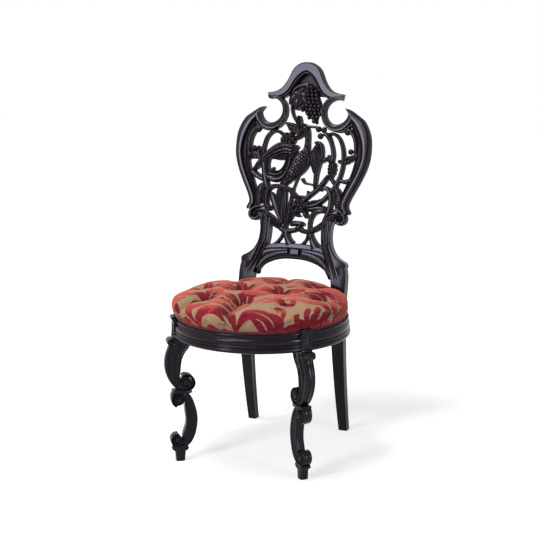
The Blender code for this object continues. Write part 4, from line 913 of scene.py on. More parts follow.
FIELD_LEAVES: Sequence[Points] = (
    ((-232, -18, 8), (-206, -28, 14), (-182, -34, 16), (-160, -28, 11)),
    ((-168, -8, 5), (-186, 2, 9), (-206, 12, 8), (-232, 10, 5)),
    ((-155, -6, 5), (-140, -22, 9), (-128, -40, 7)),
    ((-160, 8, 5), (-165, 28, 9), (-172, 48, 6)),
    ((-152, 6, 5), (-138, 22, 9), (-120, 34, 8), (-98, 38, 4)),
    ((-124, 8, 3), (-104, 12, 8), (-82, 10, 10), (-62, 4, 6)),
    ((-60, -10, 4), (-66, -30, 8), (-62, -50, 4)),
    ((-50, -8, 4), (-38, -30, 8), (-26, -48, 5)),
    ((-56, 10, 5), (-66, 30, 9), (-84, 48, 8), (-108, 56, 4)),
    ((-46, 8, 5), (-36, 28, 9), (-22, 44, 7)),
    ((-20, -66, 4), (-4, -68, 8), (16, -70, 9), (36, -66, 7), (50, -54, 3)),
    ((-24, -46, 4), (-6, -44, 9), (14, -46, 9), (32, -48, 5)),
    ((-26, -22, 4), (-6, -18, 10), (16, -18, 10), (34, -26, 5)),
    ((-18, 6, 4), (0, 10, 9), (22, 8, 9), (44, 2, 5)),
    ((44, -8, 4), (40, -24, 6), (44, -38, 3)),
    ((58, -4, 6), (64, -22, 9), (70, -42, 9), (76, -60, 8), (82, -80, 6), (88, -98, 4)),
    ((58, 8, 5), (72, 24, 9), (92, 30, 9), (110, 22, 4)),
    ((48, 8, 5), (40, 28, 8), (24, 42, 6), (6, 48, 3)),
    ((128, 12, 5), (142, 22, 9), (158, 24, 9), (174, 14, 4)),
    ((104, 52, 6), (134, 58, 10), (164, 54, 12), (190, 40, 11), (206, 20, 9), (218, -4, 8)),
    ((140, 92, 10), (178, 88, 13), (212, 62, 14), (238, 22, 12), (248, -20, 9), (250, -55, 7)),
    ((-128, 66, 4), (-146, 84, 9), (-160, 108, 9), (-166, 132, 4)),
    ((-140, 62, 4), (-166, 72, 8), (-190, 90, 8), (-204, 112, 3)),
    ((-118, 72, 4), (-122, 98, 9), (-124, 122, 8), (-118, 146, 3)),
    ((-10, 66, 3), (4, 84, 7), (24, 92, 7), (46, 86, 3)),
    ((60, 52, 3), (78, 62, 7), (98, 74, 7), (112, 92, 3)),
    ((96, 104, 3), (112, 122, 8), (132, 132, 8), (154, 130, 3)),
    ((-118, -64, 3), (-104, -80, 7), (-84, -88, 7), (-66, -80, 3)),
    ((-198, -62, 3), (-184, -80, 7), (-166, -90, 7), (-148, -86, 3)),
    ((-100, -24, 4), (-92, -40, 8), (-88, -58, 4)),
    ((-104, -4, 4), (-90, -14, 7), (-76, -28, 4)),
    ((96, -8, 4), (112, -14, 8), (130, -10, 7), (142, -2, 3)),
    ((80, -14, 4), (96, -30, 8), (114, -44, 5)),
)
FIGURE_VEINS: Sequence[Points] = (
    ((-15, -207, 0.8), (-4, -213, 2.6), (8, -227, 3.2), (18, -242, 2.6), (28, -259, 1.2)),
    ((-80, -207, 1), (-86, -219, 1.4), (-90, -234, 1)),
    ((68, -197, 0.8), (94, -199, 1.6), (117, -205, 1.6), (132, -216, 0.8)),
    ((78, -214, 0.8), (98, -218, 2.2), (116, -230, 3)),
    ((-168, -165, 1.2), (-164, -182, 2.4), (-161, -200, 1.2)),
    ((18, -204, 1.2), (0, -190, 2.2), (-24, -181, 2.6), (-52, -180, 1.8), (-72, -180, 1)),
    ((14, -186, 1), (-8, -164, 2), (-30, -150, 2.2), (-54, -144, 2), (-74, -145, 1)),
    ((12, -174, 1), (-10, -142, 1.8), (-28, -121, 2.2), (-48, -110, 2), (-70, -112, 1.4)),
    ((16, -168, 1), (-2, -124, 2), (-15, -101, 2.4), (-30, -84, 2)),
    ((20, -168, 1), (11, -124, 1.8), (3, -100, 2.2), (-2, -80, 1.6)),
    ((-2, -112, 1.5), (-5, -103, 3.6), (-7, -95, 1.5)),
    ((26, -176, 1), (28, -146, 2), (29, -120, 2.6), (32, -100, 2)),
    ((58, -114, 1.5), (64, -113, 3.2), (69, -117, 1.5)),
    ((114, -101, 2), (119, -98, 3.6), (121, -92, 1.5)),
    ((140, -56, 0.8), (160, -56, 2), (182, -52, 2.4), (202, -48, 2.2), (218, -56, 1.4)),
    ((112, -46, 0.8), (130, -34, 1.6), (150, -28, 1.4), (176, -28, 0.8)),
    ((128, -8, 0.8), (152, -4, 1.6), (178, -8, 1.4), (198, -16, 0.8)),
    ((-104, -92, 1), (-102, -74, 1.6), (-98, -58, 1)),
    ((-210, -80, 0.8), (-206, -104, 1.4), (-198, -128, 0.8)),
)


class Finish(Protocol):
    """What a piece's finish offers: its name, its slot and its material."""

    name: str
    slot: str

    def material(self) -> bpy.types.Material:
        """Build the finish's material."""


class Workshop:
    """Makes the finished pieces: meshes, finishes, and what each one replaces."""

    def __init__(self) -> None:
        """Keep one material for each finish."""
        self.finishes: dict[str, bpy.types.Material] = {}

    def finish(self, finish: Finish) -> bpy.types.Material:
        """Give the material of a finish, built once.

        Args:
            finish: the finish.

        Returns:
            Its material.
        """
        if finish.name not in self.finishes:
            self.finishes[finish.name] = finish.material()
        return self.finishes[finish.name]

    def piece(self, name: str, surface: Surface, finish: Finish, nodes: Sequence[str], crease: float = 34.0,
              marks: dict[str, Array] | None = None) -> bpy.types.Object:
        """Make one finished piece from a placed surface.

        Args:
            name: the piece's name.
            surface: its surface, in metres.
            finish: its finish.
            nodes: parts of the frame it stands for.
            crease: angle in degrees from which an edge stays sharp.
            marks: further values for each point, by name, that the finish reads.

        Returns:
            The object.
        """
        mesh = bpy.data.meshes.new(name)
        mesh.from_pydata(surface.points.tolist(), [], surface.quads.tolist() + surface.tris.tolist())
        for label, values in {"polish": surface.polish, **(marks or {})}.items():
            mesh.attributes.new(label, "FLOAT", "POINT").data.foreach_set("value", values)
        mesh.shade_smooth()
        mesh.set_sharp_from_angle(angle=math.radians(crease))
        mesh.materials.append(self.finish(finish))
        piece = hung(name, mesh)
        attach(piece, "root")
        if nodes:
            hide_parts(*nodes)
        LOG.info("%s: %d points, %d faces", name, len(mesh.vertices), len(mesh.polygons))
        return piece


def closing(front: Points, back: float = -15.5, ease: float = 2.4) -> Points:
    """Close a face section with an eased back.

    Args:
        front: rows of the face from the first edge to the second.
        back: depth of the back.
        ease: easing of the two back edges.

    Returns:
        The rows of the whole section.
    """
    return ((0.0, front[0][1], back + ease), *front, (1.0, front[-1][1], back + ease),
            (1.0, front[-1][1] - ease, back), (0.5, 0.0, back), (0.0, front[0][1] + ease, back))


def even(half: Points) -> Points:
    """Complete a face section that is alike on both sides of its middle, from its first half."""
    return (*half, *((1.0 - share, -offset, depth) for share, offset, depth in reversed(half) if share < 0.5))


def two_faced(front: Points) -> Points:
    """Close a section whose back is like its front, from the rows of the front."""
    return (*front, *((share, offset, -depth) for share, offset, depth in reversed(front) if depth != 0.0))


def stem(face: Points) -> Section:
    """Section of a stem: its face, straight sides, and a back with small eased edges."""
    return Section(((0, 0, 0), *face, (1, 0, 0), (1, 0, -6.6), (1, -0.8, -STEM_BACK), (0, 0.8, -STEM_BACK),
                    (0, 0, -6.6)), 8.0)


class StemCut(Enum):
    """Sections that the scrolling stems are carved to."""

    ROUND = stem(even(((0, 0.5, 4.6), (0.1, 0, 6.6), (0.22, 0, 7.9), (0.36, 0, 8.5), (0.5, 0, 8.7))))
    GROOVED = stem(even(((0, 0.5, 4.8), (0.09, 0, 7), (0.2, 0, 8.4), (0.31, 0, 8.4), (0.4, 0, 7),
                         (0.46, 0, 5.4))))
    FLAT = stem(even(((0, 0.2, 7.6), (0, 0.8, 9.2), (0, 1.8, 9.8), (0.5, 0, 10.2))))
    SCROLL = stem((
        (0, 0.4, 6.8), (0.05, 0, 9.2), (0.11, 0, 9.6), (0.16, 0, 7.6), (0.2, 0, 6.6), (0.26, 0, 8.6),
        (0.34, 0, 9.9), (0.42, 0, 9.6), (0.48, 0, 7.4), (0.53, 0, 6.4), (0.6, 0, 8.4), (0.72, 0, 9.4),
        (0.85, 0, 9), (0.94, 0, 7.6), (1, -0.4, 5.4)))


@dataclass
class BackFrame:
    """Crest rail, hoops, lower rail and the carved mouldings that frame the pierced back."""

    chair: Chair
    arch_section: Section = Section(closing((
        (0, 0.9, -4), (0, 0.1, -3), (0, 0, 3), (0, 0.9, 4.2), (0, 1.3, 11.6), (0, 1.9, 14), (0, 3.2, 15.4),
        (0, 5, 15.6), (1, -9.6, 15.6), (1, -8.8, 15.2), (1, -8.3, 14), (1, -7.9, 11.6), (1, -6.9, 11),
        (1, -5.6, 11.9), (1, -4.2, 13), (1, -2.6, 12.8), (1, -1, 11.4), (1, -0.2, 9), (1, 0, 6))), 30.0)
    ring_section: Section = Section(closing((
        (0, 0.8, -4), (0, 0, -3), (0, 0, 4), (0, 0.7, 5.2), (0, 0.9, 11.4), (0, 1.4, 13.6), (0, 2.6, 15),
        (0, 4.2, 15.5), (0, 4.8, 15.2), (0, 5.2, 13.6), (0, 6, 13.6), (0, 6.4, 15.2), (0, 7.2, 15.7),
        (1, -2.6, 15.7), (1, -1, 14.6), (1, -0.2, 12.6), (1, 0, 6))), 12.0)
    hoop_section: Section = Section(closing((
        (0, 0.9, -4), (0, 0, -3), (0, 0, 3.4), (0, 0.8, 4.6), (0, 1.2, 8.6), (0, 2, 11), (0, 3.4, 12),
        (0, 4.8, 11.6), (0, 5.6, 11.4), (0, 6, 14), (0, 7.2, 15.4), (0.5, 3, 15.8), (1, -2.4, 15.5),
        (1, -0.8, 14.4), (1, 0, 12), (1, 0, 4))), 20.0)
    cove_section: Section = Section(closing((
        (0, 0, 4), (0, 1, 6.2), (0, 3.4, 5.4), (0, 4.8, 6.6), (0, 6.6, 8.6), (0.5, 1, 9.6), (1, -7.6, 8.6),
        (1, -6.4, 6.4), (1, -5.4, 6.6), (1, -4.4, 8.8), (1, -3, 9.8), (1, -1.4, 9.4), (1, -0.3, 7.6),
        (1, 0, 5)), -13.0), 21.0)
    rail_section: Section = Section(closing((
        (0, 1.2, 3), (0, 0, 4.4), (0, 0, 5.4), (0, 2.4, 5.8), (0, 4.2, 7), (0, 4.8, 10.6), (0, 5.8, 12.4),
        (0, 9.8, 12.8), (0, 10.4, 12), (0, 10.7, 6.4), (0, 13.7, 6.4), (0, 14.1, 12.4), (0, 14.8, 13.4),
        (0.5, -4.2, 13.6), (0.5, -1.6, 13.2), (0.5, -1.3, 8), (0.5, 0.5, 8), (0.5, 0.8, 13.2),
        (0.5, 3.4, 13.6), (1, -17.4, 13.2), (1, -16.8, 12.2), (1, -16.5, 6.4), (1, -13.5, 6.4),
        (1, -13.1, 11.8), (1, -12.2, 12.4), (1, -2.4, 11.6), (1, -0.8, 10.8), (1, 0, 9)), -13.0), 44.0)
    panel_section: Section = Section(closing(even((
        (0, 0, -9), (0, 0.5, -6.8), (0.25, 0, -7.4), (0.5, 0, -7.8))), -12.0, 0.6), 10.0)
    tablet_section: Section = Section(even(((0, 0, 6), (0, 0.4, 14.6), (0, 1.6, 16))), 8.0)
    arch: Pairs = (
        (0, 1037, 0, 1003.5), (14, 1035.5, 7, 1001), (27, 1029.5, 13.5, 996), (37.5, 1020, 20, 989.5),
        (44.5, 1008, 26, 982), (51, 993, 32, 972.5), (59, 979, 39.5, 960.5), (70, 965.5, 50, 947),
        (84, 956.5, 68, 937), (98, 952.6, 90, 936), (111, 950.5, 105, 942))
    hoop: Pairs = (
        (118.5, 912.5, 124, 908.6), (133, 909, 131, 896.5), (149, 899.5, 138, 885), (163, 890, 146, 876),
        (175, 880, 155, 865), (187, 860, 164.5, 848), (195, 838, 172, 829), (198, 812, 177, 807),
        (197.5, 782, 178, 783), (192.5, 757, 173.5, 758), (184, 733, 165.5, 735), (170, 703, 152, 705),
        (156, 676, 139, 679), (147, 655, 131, 657), (146.5, 643, 130, 643), (153, 630, 136, 632),
        (150, 624, 137, 624))
    lower_rail: Pairs = (
        (0, 493, 0, 537), (24, 492.2, 20, 536.8), (48, 488.2, 40, 535.7), (72, 480, 58, 533.5),
        (92, 467.5, 72, 531), (106, 447, 84, 527))
    cove: Pairs = (
        (144, 879, 141, 873), (157, 866, 143, 857), (167, 849, 148, 842), (174, 830, 153.5, 826),
        (179.5, 808, 157.5, 806), (180.5, 783, 158.5, 785), (176, 757.5, 155, 762), (168, 734, 149, 737),
        (155, 703.5, 137.5, 706), (143, 677, 127, 680), (135, 656, 120, 660), (134, 643, 117, 645),
        (139, 632, 117.5, 633))
    notch: Triple = (96.5, 901.5, 33.5)
    ring_widths: Points = (
        (74, 11), (90, 12), (105, 12), (140, 12), (180, 11.5), (210, 13.5), (235, 17.5), (260, 20.5),
        (285, 20), (310, 17), (335, 16), (352, 11), (366, 3))
    panel_top: tuple[float, float] = (4.0, 1010.0)
    panel_foot: tuple[float, float] = (54.0, 943.0)
    panel_lap: float = 5.0
    scroll: Points = (
        (155, 770, 3.2), (157.5, 795, 4.4), (157, 815, 5.4), (153, 832, 6), (145, 845, 6), (137, 852, 5.4),
        (129, 854, 4.6))
    fillet: Points = ((97, 850, 3.4), (112, 849.5, 3.4), (126, 856, 3.6), (140, 868, 3.6))
    scroll_end: Triple = (131.5, 848.0, 7.0)
    volute: Points = (
        (92, 631, 3), (107, 634, 4), (122, 632, 4.6), (134, 625, 5.2), (140, 614, 5.4), (137, 603, 5.2),
        (127, 598, 5), (117, 602, 4.4), (114, 611, 3.6))
    fold: Points = ((90, 622, 3), (105, 625, 3.8), (118, 623, 3.8), (127, 617, 3))
    dome: Points = (
        (0.3, 10), (6, 9.2), (11, 6.8), (15, 2), (15.6, -4), (13, -BACK_DEPTH), (0.3, -BACK_DEPTH))
    dome_centre: tuple[float, float] = (126.5, 613.0)
    eye_centre: tuple[float, float] = (127.0, 612.5)
    tablet: tuple[float, float, float, float] = (4.0, 513.5, 11.0, 7.0)
    sunk_squares: tuple[float, float] = (-13.0, 21.0)
    square_half: float = 4.4
    square_depth: float = 5.0
    drop_scroll: Triple = (106.5, 451.0, -5.0)

    def both_ways(self, half: Pairs) -> Pairs:
        """Run a half drawn from the middle line through to the other side as well."""
        return [(-a, b, -c, d) for a, b, c, d in reversed(half[1:])] + list(half)

    def notch_ring(self) -> Surface:
        """Carve the C-scroll round a notch: a ring from the ear's tip to the hoop's hooked point.

        Its inner edge is the notch's circle and its outer edge a circle that leaves it by the ring's
        width, which swells from both ends.

        Returns:
            The ring of the right-hand notch.
        """
        x, y, radius = self.notch
        marks = np.asarray(self.ring_widths, dtype=float)
        turn = np.linspace(marks[0, 0], marks[-1, 0], 72)
        width = np.interp(turn, marks[:, 0], marks[:, 1])
        angle = np.radians(turn)
        heading = np.stack([np.cos(angle), np.sin(angle)], axis=-1)
        centre = np.array([x, y])
        rim = centre + heading * (radius + width[:, None])
        grid = self.ring_section.sweep(np.concatenate([centre + heading * radius, rim], axis=1))
        return skin(grid, wear_and_shade(grid))

    def crest(self) -> Surface:
        """Join the arch, its recessed panel and the crest's halves of the notch rings.

        Returns:
            The crest rail in the board's drawing.
        """
        arch = strip(self.both_ways(self.arch), self.arch_section)
        inside = [(x + self.panel_lap, y) for _, _, x, y in self.arch[1:8]]
        outline = [self.panel_top, *inside, self.panel_foot]
        panel = strip([(-x, y, x, y) for x, y in outline], self.panel_section, spans=4)
        ring = self.notch_ring()
        return joined([arch, panel, ring, ring.mapped(mirrored)])

    def hoop_right(self) -> Surface:
        """Join a hoop's band, its inner C-scroll, the ball where that ends, and the foot volute.

        Returns:
            The right-hand hoop in the board's drawing.
        """
        round_stem = StemCut.ROUND.value
        return joined([
            strip(self.hoop, self.hoop_section), strip(self.cove, self.cove_section),
            ribbon(self.scroll, round_stem, 7.0), ribbon(self.fillet, round_stem, 7.0),
            ball(self.scroll_end, 9.5, 0.9, 20), ribbon(self.volute, round_stem, 6.0),
            ribbon(self.fold, round_stem, 6.0), turned(self.dome, self.dome_centre),
            boss(self.eye_centre, 7.4, 10.0, 3.6)])

    def lower(self) -> Surface:
        """Join the arched lower rail, its tablet between two sunk squares, and the drop scrolls at its ends.

        Returns:
            The lower back rail in the board's drawing.
        """
        x, y, wide, high = self.tablet
        steps = ((-wide, 0.0), (1.4 - wide, 0.6), (wide - 1.4, 0.6), (wide, 0.0))
        sides = [(x + along, y - high - swell, x + along, y + high + swell) for along, swell in steps]
        tablet = strip(sides, self.tablet_section, spans=2)
        drop = ball(self.drop_scroll, 7.4, 1.0, 20)
        grid = self.rail_section.sweep(smooth(self.both_ways(self.lower_rail), 20))
        near = np.abs(grid[..., :1] - np.array(self.sunk_squares)).min(axis=-1) < self.square_half
        sunk = near & (np.abs(grid[..., 1] - y) < high + 0.8) & (grid[..., 2] > 0.0)
        grid[..., 2] = np.where(sunk, self.square_depth, grid[..., 2])
        return joined([skin(grid, wear_and_shade(grid)), tablet, drop, drop.mapped(mirrored)])

    def build(self, shop: Workshop, wood: EbonisedWood) -> None:
        """Make the crest rail, both hoops and the lower rail.

        Args:
            shop: where pieces are made.
            wood: their finish.
        """
        place = self.chair.on_back
        shop.piece("crest_rail_carved", self.crest().mapped(place), wood, ["crest_rail"])
        hoop = self.hoop_right()
        shop.piece("back_hoop_right_carved", hoop.mapped(place), wood, ["back_hoop_right"])
        shop.piece("back_hoop_left_carved", hoop.mapped(mirrored).mapped(place), wood, ["back_hoop_left"])
        shop.piece("lower_back_rail_carved", self.lower().mapped(place), wood, ["lower_back_rail"])


def tooled(cut: Cut, length: Array, t: Array, half: Array) -> Array:
    """Height that the carver's gouge leaves on a face.

    Veined: a V along the midrib and slanting gouge lines. Ribbed: parallel flutes. Feathered: barbs along
    the vane with fine slanting strokes. Scaled: rows of overlapping half rounds. Husk: folds across.

    Args:
        cut: how the face is worked.
        length: distance along the spine, in millimetres.
        t: position across, from -1 to 1.
        half: half width at that length.

    Returns:
        The height in millimetres, for half widths of about 10 mm.
    """
    size = np.clip(half / 10.0, 0.25, 1.4)
    side = np.abs(t)
    if cut is Cut.VEINED:
        lines = np.clip(np.cos(2 * math.pi * (length / 11.0 - 0.8 * side)), 0.0, 1.0) ** 3
        veins = lines * np.clip(side * 3.0, 0.0, 1.0) * (1 - side ** 6)
        return size * (-3.0 * np.exp(-(t / 0.16) ** 2) - 2.6 * veins)
    if cut is Cut.RIBBED:
        return size * 2.6 * (np.abs(np.cos(2.0 * math.pi * t)) - 0.7) * (1 - side ** 6)
    if cut is Cut.FEATHERED:
        barbs = np.clip(np.cos(2 * math.pi * (length / 7.0 - 1.5 * side)), 0.0, 1.0)
        vanes = np.abs(np.sin(1.5 * math.pi * t)) ** 0.6
        return size * (2.6 * (vanes - 0.7) - 0.8 * barbs) * (1 - side ** 6)
    if cut is Cut.SCALED:
        row = length / 8.6
        shift = 0.5 * (np.floor(row) % 2)
        lobe = np.abs(np.cos(math.pi * (t * half / 9.4 + shift)))
        return size * 3.4 * ((1.0 - (row - np.floor(row))) * lobe ** 0.6 - 0.45) * (1 - side ** 4)
    if cut is Cut.HUSK:
        return size * 1.6 * (np.abs(np.cos(math.pi * length / 7.0)) - 0.6) * (1 - side ** 6)
    return np.zeros_like(length * t)


def blade(spine: Points, belly: float, lift: float, cut: Cut, count: int = 27) -> Surface:
    """Carve a leaf, feather or body along a spine.

    Across it the face rises as belly * half width * sqrt(1 - t^2) with the tooling on top, and its edges
    run straight back through the board. A veined leaf's edge is nicked where its gouge lines run out.

    Args:
        spine: (x, y, half width) along it.
        belly: height of the face as a share of the half width.
        lift: depth of its edge towards the viewer.
        cut: how the face is worked.
        count: points across the face.

    Returns:
        The closed shape in drawing coordinates.
    """
    path = smooth(spine, 9)
    half = np.maximum(path[:, 2:3], 0.8)
    normal = beside(path)
    step = np.linalg.norm(np.diff(path[:, :2], axis=0), axis=1)
    length = np.concatenate([[0.0], np.cumsum(step)])[:, None]
    t = np.sin(np.linspace(-0.5 * math.pi, 0.5 * math.pi, count))[None, :]
    nick = np.zeros_like(length)
    if cut is Cut.VEINED:
        nick = 0.24 * np.clip(np.cos(2 * math.pi * (length / 11.0 - 0.8)), 0.0, 1.0) ** 3
    reach = half * (1.0 - nick)
    swell = np.minimum(belly * half, 10.0) * np.sqrt(1.0 - 0.98 * t ** 2)
    flat = path[:, None, :2] + normal[:, None, :] * (reach * t)[..., None]
    face = lift + swell + tooled(cut, length, t, half)
    rear = np.full_like(face, -BACK_DEPTH)
    front = np.concatenate([flat, face[..., None]], axis=-1)
    back = np.concatenate([flat, rear[..., None]], axis=-1)[:, ::-1]
    # The bellied crown takes more polish than the edges and back; through the wood's colour this is rubbed
    # wear with painted shade towards the edges.
    polish = np.clip(0.3 + (face - lift) / 5.0, 0.0, 1.0)
    rings = np.concatenate([front, back], axis=1)
    return skin(rings, np.concatenate([polish, 0.0 * polish], axis=1))


